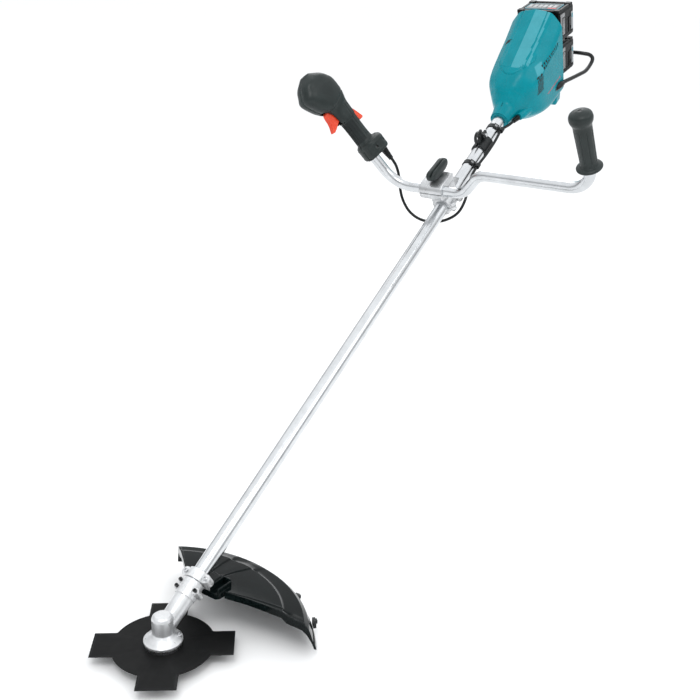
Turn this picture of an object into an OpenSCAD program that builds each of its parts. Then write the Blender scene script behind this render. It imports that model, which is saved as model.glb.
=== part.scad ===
// Battery brush cutter with a bike handle: a bevel gear head with a four tooth blade at the lower end of
// a straight shaft, a handlebar clamped half way up, and a motor housing with two batteries at the top.
// Units are millimetres. +X points forward to the blade, +Y to the user's left and +Z up, along the
// blade's spindle. The origin is the centre of the harness eye.

/* [Shaft] */
// Angle between the shaft and the cutting plane, in degrees
shaft_tilt = 33; // [30:1:36]
// Outer diameter of the main pipe
pipe_d = 28; // [27:0.5:29]
// Wall of the main pipe
pipe_wall = 1.5; // [1:0.1:2]
// Distance from the spindle to the upper end of the pipe
pipe_end = 1350; // [1345:1:1352]

/* [Cutter] */
// Distance across two opposite blade arms, end to end
blade_span = 230; // [210:1:236]
// Width of a blade arm
arm_w = 64; // [50:1:70]
// Diameter of the round middle of the blade
blade_disc_d = 168; // [150:1:180]
// Thickness of the blade
blade_t = 1.8; // [1.4:0.1:2.4]
// Direction of the first blade arm at rest, in degrees from straight ahead
blade_turn = 38; // [0:1:89]
// Height above the blade where the shaft axis meets the spindle axis
cross_h = 27; // [27:0.5:28]

/* [Handlebar] */
// Place of the bar clamp along the shaft, from the spindle
bar_s = 1008; // [1006:1:1010]
// Height of the bar axis above the shaft axis
bar_n = 58; // [57:0.5:59]
// Diameter of the handlebar tube
bar_d = 22; // [22:0.1:22.2]
// Backward lean of the handlebar, in degrees
bar_lean = 5; // [3:1:7]
// Outward lean of the trigger grip, in degrees
grip_lean = 30; // [28:1:32]

/* [Harness eye] */
// Place of the harness eye along the shaft, from the spindle
eye_s = 1208; // [1200:1:1215]
// Height of the harness eye above the shaft axis
eye_n = 31; // [31:0.5:33]
// Diameter of the hole in the harness eye
eye_d = 18; // [14:0.5:18]

/* [Motor end] */
// Place of the housing's rear rim along the shaft
rim_s = 1522; // [1520:1:1524]
// Lean of the battery stack away from square to the shaft, in degrees
pack_lean = 17; // [16:1:18]
// Width of a battery, across the machine
pack_w = 104; // [100:1:112]
// Height of a battery
pack_h = 70; // [66:1:70]
// Depth of a battery, front to back
pack_d = 76; // [70:1:80]
// Distance between the tops of the two batteries
pack_pitch = 79; // [77:1:79]

/* [Hidden] */
$fn = 64;
pipe_r = pipe_d / 2;
bar_r = bar_d / 2;
up_dir = [sin(shaft_tilt), 0, cos(shaft_tilt)];
back_dir = [-cos(shaft_tilt), 0, sin(shaft_tilt)];
cross_at = -(up_dir * eye_n + back_dir * eye_s);
cutter_at = cross_at - [0, 0, cross_h];

// Running clearance of a turning piece in its bore, and the gap between bodies that only pass each other
run_gap = 0.05;
pass_gap = 0.4;

// Bevel gears: tooth counts, pitch radius of the spindle gear, and the cone angles for this shaft angle
gear_teeth = 19;
pinion_teeth = 13;
gear_r = 11;
gear_module = 2 * gear_r / gear_teeth;
gear_angle = 90 - shaft_tilt;
pinion_cone = atan2(sin(gear_angle), gear_teeth / pinion_teeth + cos(gear_angle));
gear_cone = gear_angle - pinion_cone;
cone_r = gear_r / sin(gear_cone);
tooth_face = 4.5;
tooth_near = cone_r - tooth_face;
gear_z = cross_h + cone_r * cos(gear_cone);
case_top = gear_z + 13;

// Bearings: bore and outside of the spindle's and of the pinion's, and places along their shafts
spindle_d = 12;
spindle_bearing_d = 28;
upper_journal_d = 9;
upper_bearing_d = 19;
journal_d = 12;
journal_bearing_d = 24;
journal_bearings = [22, 31];
bearing_l = 8;
motor_shaft_d = 10;
motor_bearings = [-40, 38];

// Shaft line: drive shaft, its bushes and the motor
drive_d = 8;
motor_s = 1432;
bush_places = [240, 500, 760, 1020, 1280];

// Guard: outer radius of the top, start and end azimuth of the rim, and of the inner edge
guard_r = 228;
guard_inner_r = 112;
guard_from = 217;
guard_to = 126;
guard_inner_from = 202;
guard_inner_to = 158;

// Trigger grip: where its base is on the bar, and where each of its parts is along it
left_start = 50;
right_start = 52;
right_bend = 68;
right_straight = 58;
grip_base = 28;
grip_turn = 90 - grip_lean;
grip_m = right_bend * (1 - cos(grip_turn)) + grip_base * sin(grip_turn);
grip_y = -(right_start + right_bend * sin(grip_turn) + grip_base * cos(grip_turn));
trigger_pin = [135, -16];
lock_pin = [108, 26.5];

// Control cable: points as [along the shaft, left, up], from the trigger grip to the motor housing
cable_d = 6;
cable_route = [
    [1047, -122, 110], [1046, -115, 98], [1045, -109, 87], [1043, -104, 75], [1037, -100, 57],
    [1025, -97, 36], [1010, -88, 14], [998, -71, -6], [994, -48, -20], [1000, -22, -29], [1014, 4, -31],
    [1034, 24, -25], [1060, 31, -12], [1090, 27, 0], [1120, 22, 4], [1150, 21, 4], [1195, 23, 3],
    [1235, 23, 3], [1272, 21, 3], [1300, 26.5, -3.5], [1322, 30, -7], [1344, 33.4, -10.4], [1362, 36.2, -13.2]
];

gland_at = [-6, 29, 0];
gland_turn = [-9, -9, 0];

// Rear guard tube: half of it, as [up, left, back] from the middle of the housing's rear rim
rear_guard_d = 9;
rear_guard_half = [
    [-47, 59, -43], [-42, 64, -24], [-41, 66, -4], [-44, 70, 32], [-46, 75, 66], [-47, 78, 92],
    [-42, 78, 120], [-33, 77, 137], [-24, 70, 137], [-20, 56, 133], [-18, 36, 131], [-17, 0, 130]
];

// ---------------------------------------------------------------- frames

// Blade centre, with Z up along the spindle
module at_cutter() {
    translate(cutter_at) children();
}

// Shaft frame: X up off the shaft, Y left, Z along the shaft towards the motor
module on_shaft(s = 0) {
    translate(cross_at) rotate([0, shaft_tilt - 90, 0]) translate([0, 0, s]) children();
}

// Handlebar frame: X up in the plane of the bar, Y left along the bar's middle, Z back to the user
module on_bar() {
    on_shaft(bar_s) translate([bar_n, 0, 0]) rotate([0, -bar_lean, 0]) children();
}

// Trigger grip frame: X up along the grip, Y to the inner side, Z back to the user
module on_grip() {
    on_bar() translate([grip_m, grip_y, 0]) rotate([0, 0, -grip_lean]) children();
}

// Rear rim frame: X up along the battery stack, Y left, Z back, square to the batteries
module on_rim() {
    on_shaft(rim_s) rotate([0, -pack_lean, 0]) children();
}

// ---------------------------------------------------------------- shared shapes

module tube(d, bore, h) {
    difference() {
        cylinder(d = d, h = h);
        translate([0, 0, -1]) cylinder(d = bore, h = h + 2);
    }
}

// Box centred in X and Y, standing on Z = 0, with its four upright edges rounded
module round_box(size, r) {
    linear_extrude(size[2]) round_rect(size[0], size[1], r);
}

module round_rect(w, h, r) {
    square([w - 2 * r, h], center = true);
    square([w, h - 2 * r], center = true);
    for (sx = [-1, 1], sy = [-1, 1]) translate([sx * (w / 2 - r), sy * (h / 2 - r)]) circle(r);
}

// Socket head screw along Z: the head's top is at Z = 0 and the shank goes down
module socket_screw(d, length, head_h = 4) {
    difference() {
        union() {
            translate([0, 0, -head_h]) cylinder(d = d * 1.6, h = head_h);
            translate([0, 0, -head_h - length]) cylinder(d = d, h = length + 0.1);
        }
        translate([0, 0, -head_h * 0.6]) cylinder(d = d * 0.9, h = head_h, $fn = 6);
    }
}

function unit(v) = v / norm(v);
function mix(a, b, t) = a + (b - a) * t;

// Catmull-Rom curve through a list of points, with `steps` pieces between two points
function curve_point(p, i, t) =
    let (a = p[max(i - 1, 0)], b = p[i], c = p[i + 1], d = p[min(i + 2, len(p) - 1)])
    0.5 * (2 * b + (c - a) * t + (2 * a - 5 * b + 4 * c - d) * t * t + (3 * b - a - 3 * c + d) * t * t * t);
function curve(p, steps) = concat(
    [for (i = [0:len(p) - 2], k = [0:steps - 1]) curve_point(p, i, k / steps)], [p[len(p) - 1]]);

// Closed solid through a list of rings, each a loop with the same number of points
module skin(rings, caps) {
    n = len(rings[0]);
    last = len(rings) - 1;
    sides = [for (i = [0:last - 1], j = [0:n - 1])
        let (a = i * n + j, b = i * n + (j + 1) % n) each [[a, b, b + n], [a, b + n, a + n]]];
    start = [for (f = caps) [for (k = [len(f) - 1:-1:0]) f[k]]];
    end = [for (f = caps) [for (k = f) k + last * n]];
    polyhedron(points = [for (r = rings) each r], faces = concat(sides, start, end));
}

// Cap faces of a full loop, and of a C shaped loop of m points out and m points back
function full_caps(n) = [[for (i = [0:n - 1]) i]];
function strip_caps(m) = [for (i = [0:m - 2])
    each [[i, i + 1, 2 * m - 2 - i], [i, 2 * m - 2 - i, 2 * m - 1 - i]]];

// Round cord along a path, as one polyhedron; side_hint is never along the path
module cord(path, d, sides, side_hint) {
    last = len(path) - 1;
    rings = [for (i = [0:last])
        let (
            t = unit(path[min(i + 1, last)] - path[max(i - 1, 0)]),
            u = unit(cross(t, side_hint)),
            v = cross(t, u)
        )
        [for (k = [0:sides - 1]) path[i] + d / 2 * (u * cos(360 * k / sides) + v * sin(360 * k / sides))]];
    skin(rings, full_caps(sides));
}

// ---------------------------------------------------------------- shaft and gear head

module main_pipe() {
    pipe_start = 57;
    color("gainsboro") on_shaft(pipe_start) tube(pipe_d, pipe_d - 2 * pipe_wall, pipe_end - pipe_start);
}

module shaft_bushes() {
    bush_l = 24;
    color("dimgray") for (s = bush_places)
        on_shaft(s) tube(pipe_d - 2 * pipe_wall, drive_d + 2 * run_gap, bush_l);
}

// Outline of the gear case around the spindle: flange, shoulder, head and chamfered cap
module gear_head_outline() {
    polygon([
        [0, 7], [31, 7], [32, 8], [32, 11], [28, 14], [21, 20], [17.6, 24],
        [17.6, case_top - 7], [16.2, case_top - 3], [12.8, case_top], [0, case_top]
    ]);
}

module gear_case() {
    neck_end = 91;
    color("whitesmoke") difference() {
        union() {
            at_cutter() rotate_extrude() gear_head_outline();
            on_shaft(8) cylinder(r1 = 15.5, r2 = 17, h = 54);
            on_shaft(62) cylinder(r = 18.5, h = neck_end - 62);
            on_shaft(76) translate([0, 19, 0]) rotate([0, 90, 0]) cylinder(r = 6, h = 20, center = true);
            for (s = [72, 84]) on_shaft(s) translate([0, -19, 0])
                rotate([0, 90, 0]) cylinder(r = 5, h = 18, center = true);
            at_cutter() rotate([0, 0, 128]) translate([26, 0, 10]) cylinder(r = 4.5, h = 9);
        }
        at_cutter() translate([0, 0, 6]) cylinder(d = spindle_bearing_d, h = 12);
        at_cutter() translate([0, 0, 17.9]) cylinder(r = 15, h = gear_z - 12.5);
        at_cutter() translate([0, 0, gear_z + 5]) cylinder(d = upper_bearing_d, h = 6.4);
        on_shaft(4) cylinder(r = 11, h = 18);
        on_shaft(21.5) cylinder(d = journal_bearing_d, h = 18);
        on_shaft(39) cylinder(r = 9, h = 20);
        on_shaft(57) cylinder(d = pipe_d, h = 40);
        on_shaft(70) translate([0, -19, 0]) cube([1.2, 16, 45], center = true);
        on_shaft(76) translate([-6.5, 19, 0]) rotate([0, 90, 0]) cylinder(d = 4, h = 20);
        for (s = [72, 84]) on_shaft(s) translate([-5.5, -19, 0]) rotate([0, 90, 0]) cylinder(d = 4, h = 20);
    }
}

module gear_case_bolts() {
    color("dimgray") {
        on_shaft(76) translate([14.1, 19, 0]) rotate([0, 90, 0]) socket_screw(4, 16, 4);
        for (s = [72, 84]) on_shaft(s) translate([13.1, -19, 0]) rotate([0, 90, 0]) socket_screw(4, 14, 4);
    }
}

module grease_plug() {
    color("silver") at_cutter() rotate([0, 0, 128]) translate([26, 0, 19.05]) {
        cylinder(r = 3.4, h = 2.4, $fn = 6);
        translate([0, 0, 2.4]) cylinder(r = 1.8, h = 1.2);
    }
}

module spindle_bearings() {
    color("silver") at_cutter() {
        translate([0, 0, 9.5]) tube(spindle_bearing_d, spindle_d + 2 * run_gap, bearing_l);
        translate([0, 0, gear_z + 5]) tube(upper_bearing_d, upper_journal_d + 2 * run_gap, 6);
    }
}

module shaft_bearings() {
    color("silver") {
        for (s = journal_bearings) on_shaft(s) tube(journal_bearing_d, journal_d + 2 * run_gap, bearing_l);
        for (s = motor_bearings) on_shaft(motor_s + s) tube(24, motor_shaft_d + 2 * run_gap, bearing_l);
    }
}

module spindle_seal() {
    color("black") at_cutter() translate([0, 0, 7]) tube(28, 12.4, 2.3);
}

// ---------------------------------------------------------------- cutter

module output_spindle() {
    color("silver") at_cutter() {
        translate([0, 0, -13]) cylinder(d = 10, h = 14);
        cylinder(d = spindle_d, h = 17.9);
        translate([0, 0, 17.8]) cylinder(d = upper_journal_d, h = gear_z - 7);
    }
}

// One straight tooth of a bevel gear whose cone apex is the origin, about Z, at azimuth 0
module bevel_tooth(cone) {
    rise = atan(0.75 * gear_module / cone_r);
    drop = atan(0.95 * gear_module / cone_r);
    half_top = 0.27 * gear_module;
    half_base = 0.76 * gear_module;
    function spot(r, tilt, side) =
        let (k = r / cone_r) [r * sin(cone + tilt), side * k, r * cos(cone + tilt)];
    rings = [for (r = [tooth_near, cone_r])
        [spot(r, -drop, -half_base), spot(r, -drop, half_base),
            spot(r, rise, half_top), spot(r, rise, -half_top)]];
    skin(rings, full_caps(4));
}

module bevel_teeth(count, cone, turn) {
    for (i = [0:count - 1]) rotate([0, 0, turn + i * 360 / count]) bevel_tooth(cone);
}

// Solid root cone that carries the teeth of a bevel gear
module root_cone(cone) {
    root = cone - atan(0.85 * gear_module / cone_r);
    translate([0, 0, tooth_near * cos(root)])
        cylinder(r1 = tooth_near * sin(root), r2 = cone_r * sin(root), h = tooth_face * cos(root));
}

module spindle_gear() {
    color("gray") at_cutter() difference() {
        union() {
            translate([0, 0, cross_h]) {
                bevel_teeth(gear_teeth, gear_cone, 0);
                root_cone(gear_cone);
            }
            translate([0, 0, gear_z + 0.4]) cylinder(r = gear_r - 0.4, h = 4.1);
        }
        translate([0, 0, cross_h]) cylinder(d = upper_journal_d, h = 30);
    }
}

module receiver_washer() {
    color("silver") at_cutter() difference() {
        union() {
            translate([0, 0, blade_t / 2]) cylinder(r = 30, h = 2.6);
            translate([0, 0, blade_t / 2 + 2.5]) cylinder(r1 = 30, r2 = 31.5, h = 3.2);
        }
        translate([0, 0, -1]) cylinder(d = 12, h = 10);
    }
}

module cutter_blade() {
    color("dimgray") at_cutter() rotate([0, 0, blade_turn]) translate([0, 0, -blade_t / 2])
        linear_extrude(blade_t) difference() {
            union() {
                circle(d = blade_disc_d);
                square([blade_span, arm_w], center = true);
                square([arm_w, blade_span], center = true);
            }
            circle(d = 12);
        }
}

module clamp_washer() {
    color("silver") at_cutter() translate([0, 0, -blade_t / 2 - 3]) tube(56, 10, 3);
}

module blade_cup() {
    color("silver") at_cutter() rotate_extrude() polygon([
        [5, -3.9], [23, -3.9], [23, -6], [20, -9.5], [14, -11], [5, -11]
    ]);
}

module blade_nut() {
    color("dimgray") at_cutter() translate([0, 0, -17]) difference() {
        cylinder(r = 9, h = 6, $fn = 6);
        translate([0, 0, -1]) cylinder(d = 10, h = 8);
    }
}

// ---------------------------------------------------------------- driveline

module drive_shaft() {
    color("silver") {
        on_shaft(38) cylinder(d = drive_d, h = 1316);
        on_shaft(1352) difference() {
            cylinder(d = 18, h = 24);
            translate([0, 0, 12]) cylinder(d = motor_shaft_d, h = 13);
        }
    }
}

module drive_pinion() {
    back = cone_r * cos(pinion_cone);
    color("gray") on_shaft() difference() {
        union() {
            bevel_teeth(pinion_teeth, pinion_cone, 0);
            root_cone(pinion_cone);
            translate([0, 0, back - 0.2]) cylinder(r = 6.3, h = 3);
            translate([0, 0, back + 2]) cylinder(d = journal_d, h = 28);
        }
        translate([0, 0, 38]) cylinder(d = drive_d, h = 20);
    }
}

module motor_rotor() {
    color("silver") on_shaft(motor_s) {
        translate([0, 0, -68]) cylinder(d = motor_shaft_d, h = 116);
        translate([0, 0, -28]) cylinder(d = 42, h = 56);
    }
}

module cooling_fan() {
    blades = 9;
    color("black") on_shaft(motor_s - 52) difference() {
        union() {
            cylinder(d = 20, h = 10);
            cylinder(d = 76, h = 2);
            for (i = [0:blades - 1]) rotate([0, 0, i * 360 / blades])
                translate([8, 0, 1]) rotate([0, 0, 18]) cube([28, 1.6, 8]);
        }
        translate([0, 0, -1]) cylinder(d = motor_shaft_d, h = 12);
    }
}

// ---------------------------------------------------------------- guard

guard_bolt_x = -113;
guard_bolt_y = 13;

module guard_bracket() {
    ring_l = 17;
    color("whitesmoke") difference() {
        union() {
            on_shaft(93) intersection() {
                cylinder(r = 19, h = ring_l);
                translate([-20.3, -20, 0]) cube([20, 40, ring_l]);
            }
            for (side = [-1, 1]) on_shaft(93) translate([-8.3, side * 21, 0]) round_ear(8);
            at_cutter() translate([-105, -13, 60.4]) cube([15, 26, 8]);
            at_cutter() translate([-120, -20, 60]) cube([29, 40, 5]);
        }
        on_shaft(90) cylinder(d = pipe_d, h = 24);
        for (side = [-1, 1]) on_shaft(101.5) translate([-20, side * 21, 0])
            rotate([0, 90, 0]) cylinder(d = 5, h = 30);
        for (side = [-1, 1]) at_cutter() translate([guard_bolt_x, side * guard_bolt_y, 50])
            cylinder(d = 5, h = 16);
    }
}

module guard_bracket_cap() {
    ring_l = 17;
    color("whitesmoke") difference() {
        union() {
            on_shaft(93) intersection() {
                cylinder(r = 19, h = ring_l);
                translate([0.3, -20, 0]) cube([20, 40, ring_l]);
            }
            for (side = [-1, 1]) on_shaft(93) translate([0.3, side * 21, 0]) round_ear(8);
        }
        on_shaft(90) cylinder(d = pipe_d, h = 24);
        for (side = [-1, 1]) on_shaft(101.5) translate([-20, side * 21, 0])
            rotate([0, 90, 0]) cylinder(d = 5, h = 40);
    }
}

// Ear with a round end for a clamp bolt, `h` thick
module round_ear(h) {
    translate([0, 0, 8.5]) rotate([0, 90, 0]) cylinder(r = 8, h = h);
}

module guard_bolts() {
    color("silver") for (side = [-1, 1]) {
        on_shaft(101.5) translate([12.5, side * 21, 0]) rotate([0, 90, 0]) socket_screw(5, 15, 4.2);
        at_cutter() translate([guard_bolt_x, side * guard_bolt_y, 69.1]) socket_screw(5, 14, 4);
    }
}

// Guard cross-section from the inner edge out, as [share of the way to the rim, height]: top, then underside
guard_top = [[0, 59], [0.3, 58], [0.72, 51], [0.8, 43], [1, 38], [1.06, 30], [1.13, 6], [1.16, -4]];
guard_under = [[1.13, -4], [1.10, 6], [1.035, 28], [0.97, 35], [0.78, 40], [0.7, 48], [0.3, 55], [0, 56]];
guard_lip = 9;
guard_far_rise = 7;

function guard_point(u, v, z) =
    let (inner_a = mix(guard_inner_from, guard_inner_to, u), outer_a = mix(guard_from, guard_to, u))
    concat(
        mix(guard_inner_r * [cos(inner_a), sin(inner_a)], guard_r * [cos(outer_a), sin(outer_a)], v),
        z + guard_far_rise * max(0, 1 - 2 * u) * min(1, v));

module cutter_guard() {
    stations = concat([0, 0.012, 0.014], [for (i = [1:22]) i / 23], [0.986, 0.988, 1]);
    rings = [for (u = stations)
        let (lip = (u < 0.013 || u > 0.987) ? guard_lip : 0)
        concat(
            [for (p = guard_top) guard_point(u, p[0], p[1])],
            [for (p = guard_under) guard_point(u, p[0], p[0] > 1.05 ? p[1] : p[1] - lip)]
        )];
    color("#222828") difference() {
        union() {
            at_cutter() skin(rings, strip_caps(len(guard_top)));
            at_cutter() translate([-108, 0, 48]) round_box([36, 78, 11.6], 6);
        }
        for (side = [-1, 1]) at_cutter() translate([guard_bolt_x, side * guard_bolt_y, 40])
            cylinder(d = 5, h = 40);
    }
}

module guard_clips() {
    clip_turns = [139, 157];
    color("black") for (a = clip_turns) at_cutter() rotate([0, 0, a]) translate([251, 0, 2]) {
        cube([5, 12, 14], center = true);
        translate([3, 0, 3]) cube([4, 7, 6], center = true);
    }
}

// ---------------------------------------------------------------- handle clamp and harness eye

// Clamp block round the bar, the knob bolt behind the bar, and the saddle that grips the pipe
bar_block = 34;
block_w = 52;
split_gap = 0.4;
knob_back = 27;
knob_bolt_d = 8;
saddle_s = 1018;
saddle_l = 52;
saddle_ears = [11, 41];
ear_y = 19.5;

// Block with the outline of [up, back] points across the bar, bored for the bar
module bar_block_half(outline) {
    on_bar() difference() {
        rotate([90, 0, 0]) linear_extrude(block_w, center = true) polygon(outline);
        rotate([90, 0, 0]) cylinder(r = bar_r + run_gap, h = block_w + 2, center = true);
    }
}

module knob_bolt_hole() {
    on_bar() translate([-30, 0, knob_back]) rotate([0, 90, 0])
        cylinder(d = knob_bolt_d + 2 * run_gap, h = 60);
}

module saddle_bolt_holes() {
    for (side = [-1, 1], s = saddle_ears) on_shaft(saddle_s + s) translate([-20, side * ear_y, 0])
        rotate([0, 90, 0]) cylinder(d = 5, h = 28);
}

module bar_holder() {
    half = bar_block / 2;
    color("silver") difference() {
        union() {
            bar_block_half([
                [-split_gap, -half], [-8, -half], [-half, -9], [-half, 43], [-split_gap, 43]
            ]);
            on_shaft(saddle_s) intersection() {
                cylinder(r = 22, h = saddle_l);
                translate([0.3, -30, -1]) cube([30, 60, saddle_l + 2]);
            }
            for (side = [-1, 1], s = saddle_ears) on_shaft(saddle_s + s) translate([0.3, side * ear_y, 0])
                rotate([0, 90, 0]) cylinder(r = 7, h = 10);
            on_shaft(saddle_s + 4) translate([16, -15, 0]) cube([28, 30, 40]);
        }
        on_shaft(saddle_s - 2) cylinder(d = pipe_d, h = saddle_l + 4);
        saddle_bolt_holes();
        knob_bolt_hole();
    }
}

module pipe_clamp_cap() {
    color("silver") difference() {
        union() {
            on_shaft(saddle_s) intersection() {
                cylinder(r = 20, h = saddle_l);
                translate([-30.3, -30, -1]) cube([30, 60, saddle_l + 2]);
            }
            for (side = [-1, 1], s = saddle_ears) on_shaft(saddle_s + s) translate([-9, side * ear_y, 0])
                rotate([0, 90, 0]) cylinder(r = 7, h = 8.7);
        }
        on_shaft(saddle_s - 2) cylinder(d = pipe_d, h = saddle_l + 4);
        saddle_bolt_holes();
        for (side = [-1, 1], s = saddle_ears) on_shaft(saddle_s + s) translate([-21, side * ear_y, 0])
            rotate([0, 90, 0]) cylinder(d = 9, h = 11.95);
    }
}

module holder_bolts() {
    color("#303434") for (side = [-1, 1], s = saddle_ears) on_shaft(saddle_s + s)
        translate([-13.1, side * ear_y, 0]) rotate([0, -90, 0]) socket_screw(5, 16, 4);
}

module bar_clamp_cap() {
    half = bar_block / 2;
    color("silver") difference() {
        bar_block_half([
            [split_gap, -half], [8, -half], [half - 2, -10], [half, 4], [half, 43], [split_gap, 43]
        ]);
        knob_bolt_hole();
    }
}

module clamp_knob() {
    half = bar_block / 2;
    color("#3c4242") on_bar() translate([half + pass_gap, 0, knob_back]) rotate([0, 90, 0]) {
        cylinder(d = 22, h = 2);
        hull() for (side = [-1, 1]) {
            translate([side * 21, 0, 0.8]) cylinder(r = 11, h = 22.5, $fn = 32);
            translate([side * 28, 0, 6.5]) cylinder(r = 7, h = 13, $fn = 32);
        }
    }
    color("silver") on_bar() translate([-half - 4, 0, knob_back]) rotate([0, 90, 0])
        cylinder(d = knob_bolt_d, h = bar_block + 6);
}

module hanger_band() {
    band_l = 36;
    band_s = eye_s - 10;
    color("#25292a") difference() {
        union() {
            on_shaft(band_s) cylinder(r = 17.6, h = band_l);
            for (side = [-1, 1]) on_shaft(band_s + 20) translate([13, side * 5.5 - 2.5, 0]) cube([19, 5, 16]);
        }
        on_shaft(band_s - 1) cylinder(d = pipe_d, h = band_l + 2);
        on_shaft(band_s - 1) translate([10, -3, 0]) cube([12, 6, band_l + 2]);
        on_shaft(band_s + 28) translate([25, 0, 0]) rotate([90, 0, 0]) cylinder(d = 5, h = 30, center = true);
    }
}

module hanger_eye() {
    eye_t = 5.6;
    color("#2f3435") difference() {
        on_shaft(eye_s) {
            translate([eye_n, 0, 0]) rotate([90, 0, 0]) cylinder(d = 26, h = eye_t, center = true);
            translate([25, 0, 18]) rotate([90, 0, 0]) cylinder(d = 12, h = eye_t, center = true);
            translate([19.2, -eye_t / 2, 0]) cube([11.8, eye_t, 18]);
        }
        on_shaft(eye_s) translate([eye_n, 0, 0]) rotate([90, 0, 0])
            cylinder(d = eye_d, h = 30, center = true);
        on_shaft(eye_s) translate([25, 0, 18]) rotate([90, 0, 0]) cylinder(d = 5, h = 30, center = true);
    }
}

module hanger_bolt() {
    color("silver") on_shaft(eye_s + 18) translate([25, 0, 0]) {
        rotate([90, 0, 0]) cylinder(d = 5, h = 17, center = true);
        translate([0, 12, 0]) rotate([90, 0, 0]) cylinder(d = 9, h = 4, $fn = 6);
        translate([0, -8, 0]) rotate([90, 0, 0]) cylinder(d = 9, h = 4);
    }
}

// ---------------------------------------------------------------- control cable

function shaft_point(p) = cross_at + back_dir * p[0] + [0, p[1], 0] + up_dir * p[2];

module control_cable() {
    path = [for (p = curve(cable_route, 3)) shaft_point(p)];
    color("#1c2020") cord(path, cable_d, 8, shaft_point([0.5, -0.6, -0.6]) - cross_at);
}

module cable_clips() {
    clip_places = [[1150, -11], [1272, -8]];
    color("#25292a") for (c = clip_places) on_shaft(c[0] - 5) rotate([0, 0, c[1]]) difference() {
        union() {
            cylinder(r = pipe_r + 1.6, h = 10);
            translate([0, 21.5, 0]) cylinder(r = cable_d / 2 + 2.4, h = 10);
            translate([-3, 14.5, 0.5]) cube([6, 4, 9]);
        }
        translate([0, 0, -1]) cylinder(r = pipe_r, h = 12);
        translate([0, 21.5, -1]) cylinder(r = cable_d / 2 + 0.9, h = 12);
    }
}

// Tapered rubber boot along Z that the cable runs through
module cable_boot(r1, r2, h) {
    difference() {
        cylinder(r1 = r1, r2 = r2, h = h);
        translate([0, 0, -1]) cylinder(d = cable_d + 2 * pass_gap, h = h + 2);
    }
}

module grip_gland() {
    color("#1c2020") on_grip() translate([-24, 1, 34]) rotate([0, 90, 0]) cable_boot(5.2, 7.6, 30.6);
}

module housing_gland() {
    color("#1c2020") at_cable_entry() cable_boot(5, 6.4, 18);
}

// ---------------------------------------------------------------- motor housing

// Housing sections: [place along the shaft, lean, top, crown of the top, half width of the flat top, upper
// corner of the side, half width, lower corner of the side, half width of the flat bottom, bottom, rounding]
function round_section(place, r) =
    let (k = 0.414 * r) [place, 0, r, 0, k, k, r, -k, k, -r, 0.4 * r];
housing_sections = [
    round_section(1306, 19), round_section(1320, 21),
    [1338, 0, 27, 1, 11, 12, 25, -9, 12, -23, 10], [1351, 0, 42, 2, 17, 20, 33, -14, 17, -30, 10],
    [1366, 1, 56, 3, 22, 28, 43, -22, 22, -39, 10], [1385, 3, 68, 4, 28, 39, 54, -31, 26, -49, 10],
    [1408, 6, 78, 4, 30, 46, 59, -40, 28, -59, 9], [1446, 9, 90, 4, 33, 58, 60, -50, 30, -70, 8],
    [1484, 12, 103, 4, 36, 70, 60, -54, 30, -75, 8], [1522, 15.5, 119.5, 5, 38, 88, 60, -58, 32, -79, 8]
];
housing_wall = 3;
corner_steps = 4;
section_points = 4 * corner_steps + 2;

// Corners of one side of a section, from the middle of the top to the middle of the bottom, as [up, out]
function section_corners(s) = [
    [s[2], 0], [s[2] - s[3], s[4]], [s[5], s[6]], [s[7], s[6]], [s[9], s[8]], [s[9], 0]];

// Point at share t of the rounding of corner i
function rounded_corner(c, i, r, t) =
    let (
        b = c[i], back = c[i - 1] - b, on = c[i + 1] - b,
        p = b + unit(back) * min(r, norm(back) * (i > 1 ? 0.5 : 0.95)),
        q = b + unit(on) * min(r, norm(on) * (i < 4 ? 0.5 : 0.95))
    )
    (1 - t) * (1 - t) * p + 2 * t * (1 - t) * b + t * t * q;

function half_section(s, side) =
    let (
        c = section_corners(s),
        corners = [for (i = [1:4], k = [0:corner_steps - 1])
            rounded_corner(c, i, s[10], k / (corner_steps - 1))]
    )
    [for (p = concat([c[0]], corners, [c[5]]))
        shaft_point([s[0] + p[0] * sin(s[1]), side * p[1], p[0] * cos(s[1])])];

// Inside of a section: round and close to the pipe sleeve in the nose, a wall thickness in elsewhere
function inner_section(s) =
    let (w = housing_wall, c = 0.414 * housing_wall)
    s[0] < 1340 ? round_section(s[0], 17.4)
        : [s[0], s[1], s[2] - w, s[3], s[4] - c, s[5] - c, s[6] - w, s[7] + c, s[8] - c, s[9] + w, s[10] - 2];

module housing_half(side) {
    rings = [for (s = housing_sections)
        let (
            outer = half_section(s, side),
            inner = half_section(inner_section(s), side),
            loop = concat(outer, [for (i = [section_points - 1:-1:0]) inner[i]])
        )
        side > 0 ? loop : [for (i = [len(loop) - 1:-1:0]) loop[i]]];
    skin(rings, strip_caps(section_points));
}

// Stands its children on the line of the cable where it enters the housing
module at_cable_entry() {
    on_shaft(1316) translate(gland_at) rotate(gland_turn) children();
}

module housing_left() {
    color("#008c9b") difference() {
        housing_half(1);
        at_cable_entry() translate([0, 0, 22]) cylinder(d = 12, h = 40);
    }
}

// Boss that leads the cable through the wall of the housing's left half
module cable_socket() {
    color("#008c9b") at_cable_entry() translate([0, 0, 20]) difference() {
        cylinder(r1 = 8.6, r2 = 11.5, h = 38);
        translate([0, 0, -1]) cylinder(d = cable_d + 2 * pass_gap, h = 40);
    }
}

// Screws in the right side of the housing: places as [along the shaft, up], and the side's half width
housing_screw_places = [[1452, -36], [1452, 42], [1504, -44], [1504, 62]];
housing_side = 60;

module housing_right() {
    color("#008c9b") difference() {
        housing_half(-1);
        for (p = housing_screw_places) on_shaft(p[0]) translate([p[1], -housing_side - 1, 0])
            rotate([-90, 0, 0]) cylinder(d = 4.4, h = 8);
    }
}

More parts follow.
